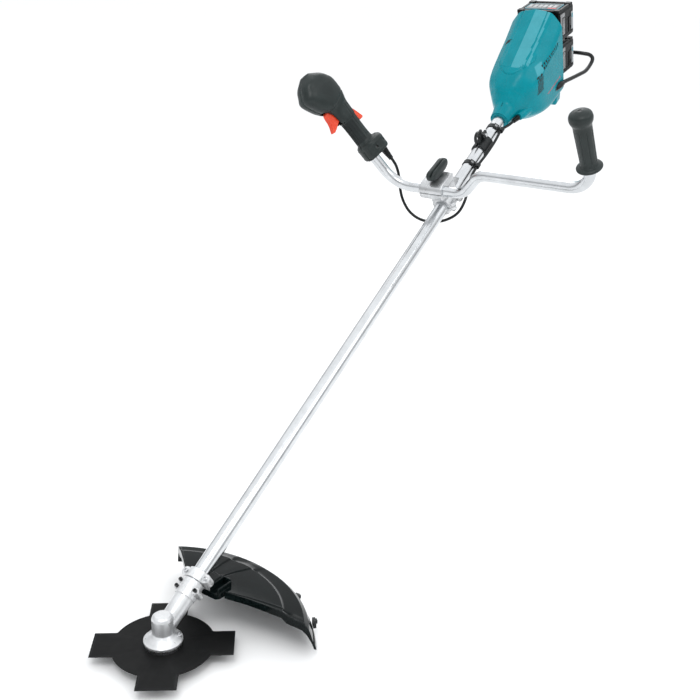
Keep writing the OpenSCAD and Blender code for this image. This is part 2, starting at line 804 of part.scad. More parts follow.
module housing_screws() {
    color("dimgray") for (p = housing_screw_places) on_shaft(p[0]) translate([p[1], -housing_side - 2.45, 0])
        rotate([90, 0, 0]) socket_screw(4, 10, 2.4);
}

module pipe_sleeve() {
    sleeve_from = 1310;
    color("silver") {
        on_shaft(sleeve_from) tube(34.6, pipe_d, 46);
        on_shaft(1356) difference() {
            cylinder(d = 52, h = 6);
            translate([0, 0, -1]) cylinder(d = 20, h = 8);
        }
    }
}

module motor_stator() {
    color("#7a5a3c") on_shaft(motor_s - 26) tube(80, 43, 52);
    color("silver") {
        on_shaft(motor_s - 42) difference() {
            cylinder(d = 92, h = 4);
            translate([0, 0, -1]) cylinder(d = 24, h = 6);
        }
        on_shaft(motor_s + 40) difference() {
            cylinder(d = 92, h = 4);
            translate([0, 0, -1]) cylinder(d = 24, h = 6);
        }
    }
}

module controller() {
    color("#2c5a34") on_rim() translate([-69, -30, -32]) cube([4, 60, 26]);
    color("#222222") on_rim() translate([-64.6, -25, -28]) cube([9, 50, 19]);
}

// ---------------------------------------------------------------- battery stack

// Top of the upper battery in the rim frame, and where the batteries' front faces are behind the rim
pack_top = 114;
pack_front = 8;
rail_w = 44;
rail_depth = 8;

module battery_dock() {
    plate_t = 6;
    color("#202424") on_rim() {
        translate([0, 0, 1.5]) linear_extrude(plate_t) polygon([
            [-68, -28], [-52, -54], [78, -54], [104, -30], [104, 30], [78, 54], [-52, 54], [-68, 28]
        ]);
        for (i = [0, 1]) translate([pack_top - pack_h / 2 - i * pack_pitch, 0, 1.5 + plate_t]) {
            translate([-rail_w / 2 + 6, -50, -0.1]) cube([rail_w - 12, 96, 3.6]);
            translate([-rail_w / 2, -50, 3.4]) cube([rail_w, 96, 3.4]);
        }
    }
}

module dock_terminals() {
    blade_gap = 9;
    blade_t = 1.6;
    color("goldenrod") on_rim() for (i = [0, 1], k = [-1, 1])
        translate([pack_top - pack_h / 2 - i * pack_pitch + k * blade_gap - blade_t / 2, -46, 14.3])
            cube([blade_t, 18, 3.4]);
}

// Battery case: ribbed block with a label deck on top and a slot in its front for the dock's rails
module battery_case() {
    slot = pass_gap;
    translate([0, 0, pack_front]) difference() {
        union() {
            translate([-pack_h / 2, 0, 1]) round_box([pack_h, pack_w, pack_d - 3], 7);
            translate([-pack_h / 2, 0, 0]) round_box([pack_h - 6, pack_w - 6, pack_d], 5);
            for (k = [0:3]) translate([-pack_h / 2 - 6, pack_w / 2 - 1, 14 + k * 8])
                cube([40, 2.4, 4.4], center = true);
        }
        translate([-pack_h / 2 - rail_w / 2 + 6 - slot, -pack_w, -1])
            cube([rail_w - 12 + 2 * slot, 2 * pack_w, 5]);
        translate([-pack_h / 2 - rail_w / 2 - slot, -pack_w, 2.5]) cube([rail_w + 2 * slot, 2 * pack_w, 12]);
        button_place(-14) linear_extrude(20) square([20.8, 12.8], center = true);
    }
}

// Stands its children on the battery's left end, Z out of it, `out` beyond its face
module button_place(out) {
    translate([-pack_h / 2, pack_w / 2 + out, pack_d - 18]) rotate([-90, 0, 0]) children();
}

module battery_upper() {
    color("#2a2e2f") on_rim() translate([pack_top, 0, 0]) battery_case();
}

module battery_lower() {
    color("#2a2e2f") on_rim() translate([pack_top - pack_pitch, 0, 0]) battery_case();
}

module release_button() {
    translate([0, 0, pack_front]) button_place(-8.5) linear_extrude(10) round_rect(20, 12, 2);
}

module upper_release() {
    color("#3c4242") on_rim() translate([pack_top, 0, 0]) release_button();
}

module lower_release() {
    color("#3c4242") on_rim() translate([pack_top - pack_pitch, 0, 0]) release_button();
}

function rim_point(p) = shaft_point([
    rim_s + p[0] * sin(pack_lean) + p[2] * cos(pack_lean),
    p[1],
    p[0] * cos(pack_lean) - p[2] * sin(pack_lean)
]);

module rear_guard() {
    mirrored = [for (i = [len(rear_guard_half) - 2:-1:0]) let (p = rear_guard_half[i]) [p[0], -p[1], p[2]]];
    path = [for (p = curve(concat(rear_guard_half, mirrored), 3)) rim_point(p)];
    color("#1c2020") cord(path, rear_guard_d, 12, up_dir);
}

// ---------------------------------------------------------------- handlebar

// Handlebar: the straight middle, then each step outwards is [length] or [bend radius, turn]
bar_wall = 2;
rise_bend = 40;
rise_turn = 50;
rise_run = 32;
left_run = 168;
left_bend = 45;
left_turn = 94;
left_steps = [
    [rise_bend, rise_turn], [rise_run], [rise_bend, -rise_turn], [left_run], [left_bend, left_turn], [96]
];
right_steps = [[right_bend, grip_turn], [right_straight]];
lap = 0.5;
bend_step = 0.1;

module bar_run(steps, r, i = 0) {
    if (i < len(steps)) {
        step = steps[i];
        if (len(step) == 1) {
            translate([0, -lap, 0]) rotate([-90, 0, 0]) cylinder(r = r, h = step[0] + 2 * lap);
            translate([0, step[0], 0]) bar_run(steps, r, i + 1);
        } else {
            way = sign(step[1]);
            turn = abs(step[1]);
            translate([way * step[0], 0, 0]) {
                rotate([0, 0, way > 0 ? 180 - turn : 0]) rotate_extrude(angle = turn)
                    translate([step[0], 0]) circle(r = r - bend_step);
                rotate([0, 0, -way * turn]) translate([-way * step[0], 0, 0]) bar_run(steps, r, i + 1);
            }
        }
    }
}

module whole_bar(r) {
    translate([0, -right_start - lap, 0]) rotate([-90, 0, 0])
        cylinder(r = r, h = right_start + left_start + 2 * lap);
    translate([0, left_start, 0]) bar_run(left_steps, r);
    translate([0, -right_start, 0]) mirror([0, 1, 0]) bar_run(right_steps, r);
}

module handlebar() {
    color("silver") on_bar() difference() {
        whole_bar(bar_r);
        whole_bar(bar_r - bar_wall);
    }
}

module plain_grip() {
    color("#4c5454") on_bar() plain_grip_place()
        difference() {
            rotate_extrude() polygon([
                [11.05, -18], [23, -18], [24.5, -15.5], [21, -12], [16.2, -9.5], [16, 2], [16.6, 38],
                [17.5, 74], [21, 79], [22, 84.5], [21.3, 91], [16, 97], [8, 100], [0, 101], [0, 94], [11.05, 93]
            ]);
            for (i = [0:11]) rotate([0, 0, i * 30]) translate([16.9, 0, -4]) cylinder(r = 1.6, h = 72);
            translate([0, 0, 98.6]) cylinder(d = 6.6, h = 4);
        }
}

// Stands its children on the upper end of the left arm, Z along the grip
module plain_grip_place() {
    grip_foot = 20;
    sweep = left_start + rise_bend * sin(rise_turn) * 2 + rise_run * cos(rise_turn) + left_run;
    rise = rise_bend * (1 - cos(rise_turn)) * 2 + rise_run * sin(rise_turn);
    translate([rise + left_bend, sweep, 0]) rotate([0, 0, 90 - left_turn])
        translate([grip_foot, left_bend, 0]) rotate([0, 90, 0]) children();
}

// ---------------------------------------------------------------- trigger grip

// Grip sections: [place along the grip, front, back, half width, roundness]
grip_sections = [
    [7, -13.5, 40, 24.5, 2.3], [10, -15, 42, 27, 2.4], [34, -15, 42, 27.5, 2.4], [40.5, -13.5, 38, 21, 2.4],
    [47, -13, 27, 14.7, 2.4], [98, -13, 27, 14.7, 2.4], [104, -20, 28, 17, 2.5], [130, -26, 29, 19, 2.5],
    [143, -38, 31, 22.5, 2.8], [157, -49, 34, 24.5, 3], [182, -61, 33, 26, 3.1], [196, -54, 26, 25, 3],
    [209, -43, 14, 22.5, 2.8], [222, -24, -4, 10, 2.3]
];
grip_wall = 2.6;
grip_screw_places = [[22, 26], [22, 1]];
button_t = [178, 156];
grip_points = 17;

function grip_ring_point(s, a, side, inset) =
    let (front = s[1] + inset, back = s[2] - inset, w = s[3] - inset, p = 2 / s[4],
        mid = (front + back) / 2, h = (back - front) / 2)
    [s[0], side * w * pow(abs(sin(a)), p), mid + h * sign(cos(a)) * pow(abs(cos(a)), p)];

function grip_bore_point(t, a, side) =
    let (r = (bar_r + run_gap) / cos(90 / (grip_points - 1))) [t, side * r * sin(a), r * cos(a)];

module grip_half(side) {
    last_t = grip_sections[len(grip_sections) - 1][0];
    rings = [for (s = grip_sections)
        let (
            angles = [for (i = [0:grip_points - 1]) 180 * i / (grip_points - 1)],
            outer = [for (a = angles) grip_ring_point(s, a, side, 0)],
            inner = s[0] < 40
                ? [for (a = angles) grip_bore_point(s[0], a, side)]
                : [for (a = angles) grip_ring_point(s, a, side, s[0] < last_t ? grip_wall : s[3] - 1)],
            loop = concat(outer, [for (i = [grip_points - 1:-1:0]) inner[i]])
        )
        side > 0 ? [for (i = [len(loop) - 1:-1:0]) loop[i]] : loop];
    skin(rings, strip_caps(grip_points));
}

module grip_cuts() {
    translate([104, -7.5, -50]) cube([41, 15, 42]);
    translate([79.5, -6.5, 21.3]) cube([35, 13, 12]);
    translate([button_t[0], 0, 26]) cylinder(d = 15, h = 20);
    translate([button_t[1], 0, 26]) cylinder(d = 10, h = 20);
    for (p = grip_screw_places) translate([p[0], 21, p[1]]) rotate([-90, 0, 0]) cylinder(d = 6.4, h = 10);
    translate([-10, 1, 34]) rotate([0, 90, 0]) cylinder(d = cable_d + 2 * pass_gap, h = 36);
}

module trigger_grip_inner() {
    color("#4c5454") on_grip() difference() {
        grip_half(1);
        grip_cuts();
    }
}

module trigger_grip_outer() {
    color("#4c5454") on_grip() difference() {
        grip_half(-1);
        grip_cuts();
    }
}

module grip_screws() {
    color("dimgray") {
        for (p = grip_screw_places) on_grip() translate([p[0], 21.3, p[1]])
            rotate([-90, 0, 0]) cylinder(d = 5.6, h = 3);
        on_bar() plain_grip_place() translate([0, 0, 98.65]) cylinder(d = 6, h = 1.4);
    }
}

module switch_module() {
    color("#202020") on_grip() {
        translate([150, -14, -30]) cube([22, 28, 26]);
        translate([148, -12, 8]) cube([36, 24, 15]);
    }
}

module trigger() {
    color("orangered") on_grip() difference() {
        rotate([90, 0, 0]) linear_extrude(13, center = true) polygon([
            [141, -24], [141, -32], [136, -38], [126, -42], [112, -42],
            [103, -46], [102, -42], [106, -30], [110, -20], [112, -12], [124, -9], [138, -9]
        ]);
        translate([trigger_pin[0], 0, trigger_pin[1]]) rotate([90, 0, 0])
            cylinder(d = 3, h = 40, center = true);
    }
}

module lock_off_lever() {
    lever_boss_r = 4;
    color("orangered") on_grip() translate([0, 5.5, 0]) rotate([90, 0, 0]) linear_extrude(11) difference() {
        union() {
            polygon([[108, 22.8], [113, 29.5], [84, 41.5], [80.6, 39.5], [81, 29.5], [96, 23.6]]);
            translate(lock_pin) circle(lever_boss_r);
        }
        translate(lock_pin) circle(1.5);
    }
}

module power_button() {
    color("#303636") on_grip() translate([button_t[0], 0, 27.5]) {
        cylinder(d = 14, h = 8);
        translate([0, 0, -2]) cylinder(d = 5, h = 3);
    }
}

module mode_button() {
    color("#303636") on_grip() translate([button_t[1], 0, 28.5]) cylinder(d = 9.2, h = 8);
}

// ---------------------------------------------------------------- build

main_pipe();
shaft_bushes();
gear_case();
gear_case_bolts();
grease_plug();
spindle_bearings();
shaft_bearings();
spindle_seal();
guard_bracket();
guard_bracket_cap();
guard_bolts();
cutter_guard();
guard_clips();
bar_holder();
pipe_clamp_cap();
holder_bolts();
bar_clamp_cap();
hanger_band();
hanger_eye();
hanger_bolt();
cable_clips();
control_cable();
grip_gland();
housing_gland();
housing_left();
housing_right();
cable_socket();
housing_screws();
pipe_sleeve();
motor_stator();
controller();
battery_dock();
dock_terminals();
rear_guard();
output_spindle();
spindle_gear();
receiver_washer();
cutter_blade();
clamp_washer();
blade_cup();
blade_nut();
drive_shaft();
drive_pinion();
motor_rotor();
cooling_fan();
handlebar();
trigger_grip_inner();
trigger_grip_outer();
plain_grip();
grip_screws();
switch_module();
trigger();
lock_off_lever();
power_button();
mode_button();
clamp_knob();
battery_upper();
battery_lower();
upper_release();
lower_release();
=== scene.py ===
import math

import bpy
import bmesh
import numpy as np
from mathutils import Matrix, Vector


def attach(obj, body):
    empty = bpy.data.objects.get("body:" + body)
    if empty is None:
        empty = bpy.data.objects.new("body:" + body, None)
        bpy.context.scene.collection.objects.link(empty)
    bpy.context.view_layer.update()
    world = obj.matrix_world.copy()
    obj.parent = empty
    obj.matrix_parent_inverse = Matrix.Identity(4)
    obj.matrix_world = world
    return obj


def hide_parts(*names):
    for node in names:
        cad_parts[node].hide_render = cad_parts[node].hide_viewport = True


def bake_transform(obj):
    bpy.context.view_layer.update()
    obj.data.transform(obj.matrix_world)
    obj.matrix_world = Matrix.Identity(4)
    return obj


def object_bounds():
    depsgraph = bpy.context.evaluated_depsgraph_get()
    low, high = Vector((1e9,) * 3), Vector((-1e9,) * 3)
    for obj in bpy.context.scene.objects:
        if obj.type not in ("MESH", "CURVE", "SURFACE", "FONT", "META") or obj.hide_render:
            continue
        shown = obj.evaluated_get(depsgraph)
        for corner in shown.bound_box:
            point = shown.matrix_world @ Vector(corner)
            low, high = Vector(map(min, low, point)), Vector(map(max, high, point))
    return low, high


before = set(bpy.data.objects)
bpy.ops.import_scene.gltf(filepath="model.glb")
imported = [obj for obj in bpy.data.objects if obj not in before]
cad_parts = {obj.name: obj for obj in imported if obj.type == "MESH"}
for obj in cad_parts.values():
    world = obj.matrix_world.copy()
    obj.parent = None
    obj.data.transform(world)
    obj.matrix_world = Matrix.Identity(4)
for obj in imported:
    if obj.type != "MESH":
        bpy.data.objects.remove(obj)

cad_box = [list(v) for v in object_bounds()]

# ---------------------------------------------------------------- frames (built in mm, stored in metres)

MM = 0.001
TILT = math.radians(33)
UP = Vector((math.sin(TILT), 0, math.cos(TILT)))
BACK = Vector((-math.cos(TILT), 0, math.sin(TILT)))
LEFT = Vector((0, 1, 0))
EYE_S, EYE_N = 1208, 31
CROSS = -(UP * EYE_N + BACK * EYE_S)
CUTTER_AT = CROSS - Vector((0, 0, 27))


def frame_at(origin, x, z):
    """Local millimetres to row metres, for a frame with the given X and Z directions."""
    x, z = x.normalized(), z.normalized()
    y = z.cross(x)
    m = Matrix((x, y, z)).transposed().to_4x4()
    m.translation = origin
    return Matrix.Scale(MM, 4) @ m


def turned(a, b, degrees):
    """Two square directions turned towards each other, as the CAD's leaning frames are."""
    r = math.radians(degrees)
    return a * math.cos(r) + b * math.sin(r), -a * math.sin(r) + b * math.cos(r)


def shaft_point(s, y, n):
    return CROSS + BACK * s + LEFT * y + UP * n


SHAFT = frame_at(CROSS, UP, BACK)
CUTTER = frame_at(CUTTER_AT, Vector((1, 0, 0)), Vector((0, 0, 1)))
BAR_UP, BAR_BACK = turned(UP, BACK, 5)
BAR_AT = shaft_point(1008, 0, 58)
BAR = frame_at(BAR_AT, BAR_UP, BAR_BACK)
LEAN = math.radians(30)
GRIP_AT = BAR_AT + BAR_UP * 58.249 - LEFT * 124.89
GRIP_UP = BAR_UP * math.cos(LEAN) - LEFT * math.sin(LEAN)
GRIP = frame_at(GRIP_AT, GRIP_UP, BAR_BACK)
RIM_UP, RIM_BACK = turned(UP, BACK, 17)
RIM_AT = shaft_point(1522, 0, 0)
RIM = frame_at(RIM_AT, RIM_UP, RIM_BACK)

# ---------------------------------------------------------------- camera

CAMERA_FROM_BLADE = Vector((977.7, 1001.1, 1015.7))
AZIMUTH, ELEVATION, ROLL = math.radians(33.723), math.radians(20.010), math.radians(1.580)


def make_camera():
    back = Vector((math.cos(ELEVATION) * math.cos(AZIMUTH), math.cos(ELEVATION) * math.sin(AZIMUTH),
                   math.sin(ELEVATION)))
    right = Vector((0, 0, 1)).cross(back).normalized()
    up = back.cross(right)
    r = right * math.cos(ROLL) + up * math.sin(ROLL)
    u = up * math.cos(ROLL) - right * math.sin(ROLL)
    m = Matrix((r, u, back)).transposed().to_4x4()
    m.translation = (CUTTER_AT + CAMERA_FROM_BLADE) * MM
    data = bpy.data.cameras.new("camera")
    data.sensor_width = 36
    data.lens = 51.71
    data.clip_end = 50
    cam = bpy.data.objects.new("camera", data)
    bpy.context.scene.collection.objects.link(cam)
    cam.matrix_world = m
    bpy.context.scene.camera = cam


make_camera()


# ---------------------------------------------------------------- materials


def noise_at(tree, vector, scale, detail=3.0, rough=0.55):
    n = tree.nodes.new("ShaderNodeTexNoise")
    n.inputs["Scale"].default_value = scale
    n.inputs["Detail"].default_value = detail
    n.inputs["Roughness"].default_value = rough
    tree.links.new(vector, n.inputs["Vector"])
    return n.outputs["Fac"]


def spread(tree, value, low, high, to_low, to_high):
    n = tree.nodes.new("ShaderNodeMapRange")
    for key, v in zip(("From Min", "From Max", "To Min", "To Max"), (low, high, to_low, to_high)):
        n.inputs[key].default_value = v
    tree.links.new(value, n.inputs["Value"])
    return n.outputs["Result"]


def blend_colour(tree, factor, a, b):
    n = tree.nodes.new("ShaderNodeMix")
    n.data_type = "RGBA"
    tree.links.new(factor, n.inputs[0])
    for socket, value in ((n.inputs[6], a), (n.inputs[7], b)):
        if hasattr(value, "links"):
            tree.links.new(value, socket)
        else:
            socket.default_value = (*value, 1)
    return n.outputs[2]


def times(tree, a, b):
    n = tree.nodes.new("ShaderNodeMath")
    n.operation = "MULTIPLY"
    for socket, value in ((n.inputs[0], a), (n.inputs[1], b)):
        if hasattr(value, "links"):
            tree.links.new(value, socket)
        else:
            socket.default_value = value
    return n.outputs[0]


def along(tree, vector, direction, stretch):
    """Coordinates squeezed along a direction, so that noise becomes fine lines along it."""
    axes = [direction, direction.orthogonal(), direction.cross(direction.orthogonal())]
    combine = tree.nodes.new("ShaderNodeCombineXYZ")
    for i, axis in enumerate(axes):
        dot = tree.nodes.new("ShaderNodeVectorMath")
        dot.operation = "DOT_PRODUCT"
        tree.links.new(vector, dot.inputs[0])
        dot.inputs[1].default_value = axis.normalized() * (1 / stretch if i == 0 else 1)
        tree.links.new(dot.outputs["Value"], combine.inputs[i])
    return combine.outputs[0]


def material(name, colour, rough, metallic=0.0, grain=900, bump=0.15, mottle=0.12, wear=None, wear_amount=0.5,
             coat=0.0, edge=0.0006, lines=None, specular=0.5, patches=0.06):
    """Procedural finish: mottled colour, uneven gloss, fine moulded or cast grain, worn and rounded edges."""
    m = bpy.data.materials.new(name)
    m.use_nodes = True
    t = m.node_tree
    shader = t.nodes["Principled BSDF"]
    shader.inputs["Metallic"].default_value = metallic
    shader.inputs["Coat Weight"].default_value = coat
    shader.inputs["Coat Roughness"].default_value = 0.12
    shader.inputs["Specular IOR Level"].default_value = specular
    place = t.nodes.new("ShaderNodeTexCoord").outputs["Object"]
    fine = along(t, place, lines, 60) if lines else place
    dark = tuple(c * (1 - mottle) for c in colour)
    light = tuple(min(1, c * (1 + mottle)) for c in colour)
    base = blend_colour(t, spread(t, noise_at(t, place, 34, 5), 0.35, 0.65, 0, 1), dark, light)
    speck = spread(t, noise_at(t, fine, 2200, 2), 0.62, 0.78, 0, 0.2)
    base = blend_colour(t, speck, base, tuple(min(1, c * 1.5 + 0.003) for c in colour))
    if wear:
        geometry = t.nodes.new("ShaderNodeNewGeometry")
        worn = spread(t, geometry.outputs["Pointiness"], 0.515, 0.58, 0, 1)
        broken = spread(t, noise_at(t, place, 210, 4, 0.7), 0.42, 0.62, 0, wear_amount)
        base = blend_colour(t, times(t, worn, broken), base, wear)
    t.links.new(base, shader.inputs["Base Color"])
    gloss = spread(t, noise_at(t, place, 75, 4), 0.3, 0.7, max(0.03, rough - patches), rough + patches)
    t.links.new(gloss, shader.inputs["Roughness"])
    rounded = t.nodes.new("ShaderNodeBevel")
    rounded.samples = 4
    rounded.inputs["Radius"].default_value = edge
    relief = t.nodes.new("ShaderNodeBump")
    relief.inputs["Strength"].default_value = bump
    relief.inputs["Distance"].default_value = 0.0004
    t.links.new(noise_at(t, fine, grain, 3), relief.inputs["Height"])
    t.links.new(rounded.outputs["Normal"], relief.inputs["Normal"])
    t.links.new(relief.outputs["Normal"], shader.inputs["Normal"])
    return m


TEAL = material("teal_shell", (0.0, 0.225, 0.275), 0.26, grain=500, bump=0.02, mottle=0.05,
                wear=(0.01, 0.3, 0.36), edge=0.0009, specular=0.14)
# Paler teal, painted on the +Y side only: a painted highlight where light falls on the housing.
TEAL_PAINTED_HIGHLIGHT = material("teal_painted_highlight", (0.06, 0.33, 0.39), 0.26, grain=900, bump=0.03, mottle=0.05,
                     wear=(0.12, 0.42, 0.48), specular=0.14)
GUARD = material("guard_plastic", (0.002, 0.004, 0.0042), 0.12, grain=500, bump=0.04, mottle=0.25,
                 wear=(0.02, 0.03, 0.03), edge=0.001, specular=0.12, patches=0.03)
GRIP_RUBBER = material("grip_plastic", (0.0155, 0.022, 0.0215), 0.36, grain=1300, bump=0.3, mottle=0.16,
                       wear=(0.07, 0.085, 0.083), edge=0.001, specular=0.3)
RIBBED = material("grip_ribbed_rubber", (0.01, 0.0145, 0.0145), 0.55, grain=1800, bump=0.45, mottle=0.2,
                  wear=(0.04, 0.05, 0.05), specular=0.25)
BLACK = material("black_plastic", (0.006, 0.0075, 0.008), 0.34, grain=1100, bump=0.25, mottle=0.2,
                 wear=(0.04, 0.045, 0.047), edge=0.0008, specular=0.28)
VENT = material("vent_shadow", (0.002, 0.004, 0.005), 0.7, grain=800, bump=0.3, mottle=0.3)
PACK = material("battery_plastic", (0.004, 0.005, 0.0054), 0.3, grain=600, bump=0.1, mottle=0.2,
                wear=(0.04, 0.045, 0.047), edge=0.0012, specular=0.12)
SILVER_PAINT = material("silver_trim", (0.22, 0.225, 0.23), 0.3, metallic=0.6, grain=1500, bump=0.15,
                        mottle=0.1, wear=(0.7, 0.7, 0.7))
PIPE = material("brushed_alloy", (0.66, 0.675, 0.69), 0.2, metallic=1.0, grain=1700, bump=0.12, mottle=0.06,
                lines=BACK, patches=0.05)
BAR_METAL = material("satin_alloy_bar", (0.6, 0.615, 0.63), 0.2, metallic=1.0, grain=1500, bump=0.1,
                     mottle=0.07)
CAST = material("cast_alloy", (0.52, 0.53, 0.54), 0.32, metallic=0.9, grain=800, bump=0.35, mottle=0.12,
                wear=(0.9, 0.9, 0.9), edge=0.0014)
WHITE_CAST = material("white_cast_alloy", (0.66, 0.67, 0.68), 0.32, metallic=0.65, grain=650, bump=0.35,
                      mottle=0.1, wear=(0.92, 0.92, 0.92), edge=0.0016)
STEEL = material("bright_steel", (0.6, 0.61, 0.62), 0.22, metallic=1.0, grain=1600, bump=0.15, mottle=0.12,
                 wear=(0.85, 0.85, 0.85))
TURNED_STEEL = material("turned_steel", (0.5, 0.51, 0.52), 0.28, metallic=1.0, grain=2400, bump=0.3,
                        mottle=0.16, wear=(0.8, 0.8, 0.8))
BLACK_STEEL = material("black_steel", (0.02, 0.022, 0.023), 0.32, metallic=0.6, grain=1200, bump=0.2,
                       mottle=0.25, wear=(0.2, 0.2, 0.2))
BLADE_STEEL = material("satin_black_blade", (0.006, 0.0063, 0.0065), 0.5, grain=260, bump=0.03,
                       mottle=0.12, specular=0.12, patches=0.05)
GROUND_EDGE = material("ground_blade_edge", (0.008, 0.0085, 0.009), 0.42, metallic=0.1, grain=600, bump=0.05,
                       mottle=0.2, specular=0.14)
ORANGE = material("signal_orange", (0.72, 0.05, 0.014), 0.28, grain=1300, bump=0.1, mottle=0.08,
                  wear=(0.95, 0.35, 0.22), coat=0.1, specular=0.3)
CABLE = material("cable_rubber", (0.006, 0.0075, 0.0078), 0.38, grain=1800, bump=0.35, mottle=0.25,
                 wear=(0.03, 0.035, 0.035), specular=0.28)
TUBE_PAINT = material("black_powder_coat", (0.007, 0.0085, 0.009), 0.24, grain=2000, bump=0.3, mottle=0.2,
                      wear=(0.05, 0.05, 0.05), specular=0.3)
LABEL = material("label_pale", (0.3, 0.32, 0.33), 0.35, grain=1500, bump=0.05, mottle=0.12)
LABEL_TEAL = material("label_teal", (0.01, 0.2, 0.26), 0.35, grain=1500, bump=0.05, mottle=0.08)
LABEL_RED = material("label_red", (0.5, 0.02, 0.02), 0.35, grain=1500, bump=0.05, mottle=0.08)
COPPER = material("copper_winding", (0.45, 0.2, 0.09), 0.35, metallic=1.0, grain=1500, bump=0.5, lines=BACK)
BRASS = material("brass_contact", (0.7, 0.5, 0.18), 0.3, metallic=1.0, grain=1500, bump=0.2)
BOARD = material("circuit_board", (0.02, 0.11, 0.04), 0.4, grain=700, bump=0.5, mottle=0.3)

CAD_FINISH = {
    PIPE: ["main_pipe"], BAR_METAL: ["handlebar"],
    WHITE_CAST: ["gear_case", "guard_bracket", "guard_bracket_cap"],
    CAST: ["bar_holder", "pipe_clamp_cap", "bar_clamp_cap", "pipe_sleeve"],
    STEEL: ["grease_plug", "guard_bolts", "hanger_bolt", "clamp_washer", "spindle_bearings",
            "shaft_bearings"],
    TURNED_STEEL: ["output_spindle", "receiver_washer", "blade_cup", "drive_shaft", "drive_pinion",
                   "spindle_gear", "motor_rotor"],
    BLACK_STEEL: ["gear_case_bolts", "holder_bolts", "blade_nut", "grip_screws", "housing_screws",
                  "spindle_seal"],
    BLADE_STEEL: ["cutter_blade"],
    GUARD: ["cutter_guard"],
    BLACK: ["guard_clips", "hanger_band", "hanger_eye", "cable_clips", "battery_dock", "cooling_fan",
            "shaft_bushes", "switch_module", "power_button", "mode_button", "upper_release", "lower_release"],
    CABLE: ["control_cable", "grip_gland", "housing_gland"],
    TEAL: ["housing_left", "housing_right", "cable_socket"],
    PACK: ["battery_upper", "battery_lower"],
    TUBE_PAINT: ["rear_guard"],
    GRIP_RUBBER: ["plain_grip", "trigger_grip_inner", "trigger_grip_outer", "clamp_knob"],
    ORANGE: ["trigger", "lock_off_lever"],
    COPPER: ["motor_stator"], BRASS: ["dock_terminals"], BOARD: ["controller"],
}
for finish, names in CAD_FINISH.items():
    for name in names:
        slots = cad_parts[name].data.materials
        slots.clear()
        slots.append(finish)

# ---------------------------------------------------------------- making pieces


def piece(name, verts, faces, frame_of, finish, body, slot, replaces=(), sharp=32, bevel=0.0, segments=2,
          face_finish=None, thickness=0.0, levels=0):
    """Makes a mesh piece from local millimetres and puts it on its CAD body."""
    mesh = bpy.data.meshes.new(name)
    mesh.from_pydata([frame_of @ Vector(v) for v in verts], [], faces)
    finishes = finish if isinstance(finish, list) else [finish]
    for f in finishes:
        mesh.materials.append(f)
    if face_finish is not None:
        mesh.polygons.foreach_set("material_index", face_finish)
    bm = bmesh.new()
    bm.from_mesh(mesh)
    bmesh.ops.remove_doubles(bm, verts=bm.verts, dist=1e-7)
    bmesh.ops.recalc_face_normals(bm, faces=bm.faces)
    bm.to_mesh(mesh)
    bm.free()
    mesh.shade_smooth()
    mesh.set_sharp_from_angle(angle=math.radians(sharp))
    ob = bpy.data.objects.new(name, mesh)
    bpy.context.scene.collection.objects.link(ob)
    if thickness:
        shell = ob.modifiers.new("shell", "SOLIDIFY")
        shell.thickness = thickness * MM
        shell.offset = -1
    if bevel:
        soft = ob.modifiers.new("edges", "BEVEL")
        soft.width = bevel * MM
        soft.segments = segments
        soft.limit_method = "ANGLE"
        soft.angle_limit = math.radians(28)
        soft.harden_normals = True
    if levels:
        ob.modifiers.new("round", "SUBSURF").levels = levels
        ob.modifiers["round"].render_levels = levels
    if replaces:
        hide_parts(*replaces)
    if body:
        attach(ob, body)
    return ob


def loft(rings, closed=True, caps=True):
    n = len(rings[0])
    verts = [p for r in rings for p in r]
    faces = []
    for i in range(len(rings) - 1):
        for j in range(n if closed else n - 1):
            a, b = i * n + j, i * n + (j + 1) % n
            faces.append((a, b, b + n, a + n))
    if caps:
        faces.append(tuple(range(n)))
        faces.append(tuple(range((len(rings) - 1) * n, len(rings) * n)))
    return verts, faces


def joined(*parts):
    verts, faces = [], []
    for v, f in parts:
        k = len(verts)
        verts += list(v)
        faces += [tuple(i + k for i in q) for q in f]
    return verts, faces


def moved(part, at=(0, 0, 0), turn=(0, 0, 0)):
    m = Matrix.Translation(at)
    for axis, angle in zip("ZYX", reversed(turn)):
        m = m @ Matrix.Rotation(math.radians(angle), 4, axis)
    return [tuple(m @ Vector(v)) for v in part[0]], part[1]


def prism(outline, z0, z1):
    return loft([[(x, y, z0) for x, y in outline], [(x, y, z1) for x, y in outline]])


def cross_prism(outline, half_width):
    """A prism that lies across, from an outline in X and Z."""
    verts, faces = prism(outline, -half_width, half_width)
    return [(x, -y, z) for x, z, y in verts], faces


def slab(size, at=(0, 0, 0), turn=(0, 0, 0)):
    x, y, z = (v / 2 for v in size)
    return moved(prism([(-x, -y), (x, -y), (x, y), (-x, y)], -z, z), at, turn)


def arc(r, a0, a1, count):
    angles = np.linspace(math.radians(a0), math.radians(a1), count)
    return [(r * math.cos(a), r * math.sin(a)) for a in angles]


def circle(r, count):
    angles = [2 * math.pi * k / count for k in range(count)]
    return [(r * math.cos(a), r * math.sin(a)) for a in angles]


def lathe(profile, steps=64, wave=None):
    """Turned shape about Z from (radius, z) pairs, closed on the axis; wave(angle, i) adds to the radius."""
    rings = []
    for i, (r, z) in enumerate(profile):
        ring = []
        for k in range(steps):
            a = 2 * math.pi * k / steps
            rr = r + (wave(a, i) if wave else 0)
            ring.append((rr * math.cos(a), rr * math.sin(a), z))
        rings.append(ring)
    return loft(rings)


def ring_shape(profile, steps=64):
    """Turned shape whose profile is a closed loop off the axis."""
    n = len(profile)
    verts = [(r * math.cos(2 * math.pi * k / steps), r * math.sin(2 * math.pi * k / steps), z)
             for k in range(steps) for r, z in profile]
    faces = [(k * n + j, k * n + (j + 1) % n, (k + 1) % steps * n + (j + 1) % n, (k + 1) % steps * n + j)
             for k in range(steps) for j in range(n)]
    return verts, faces


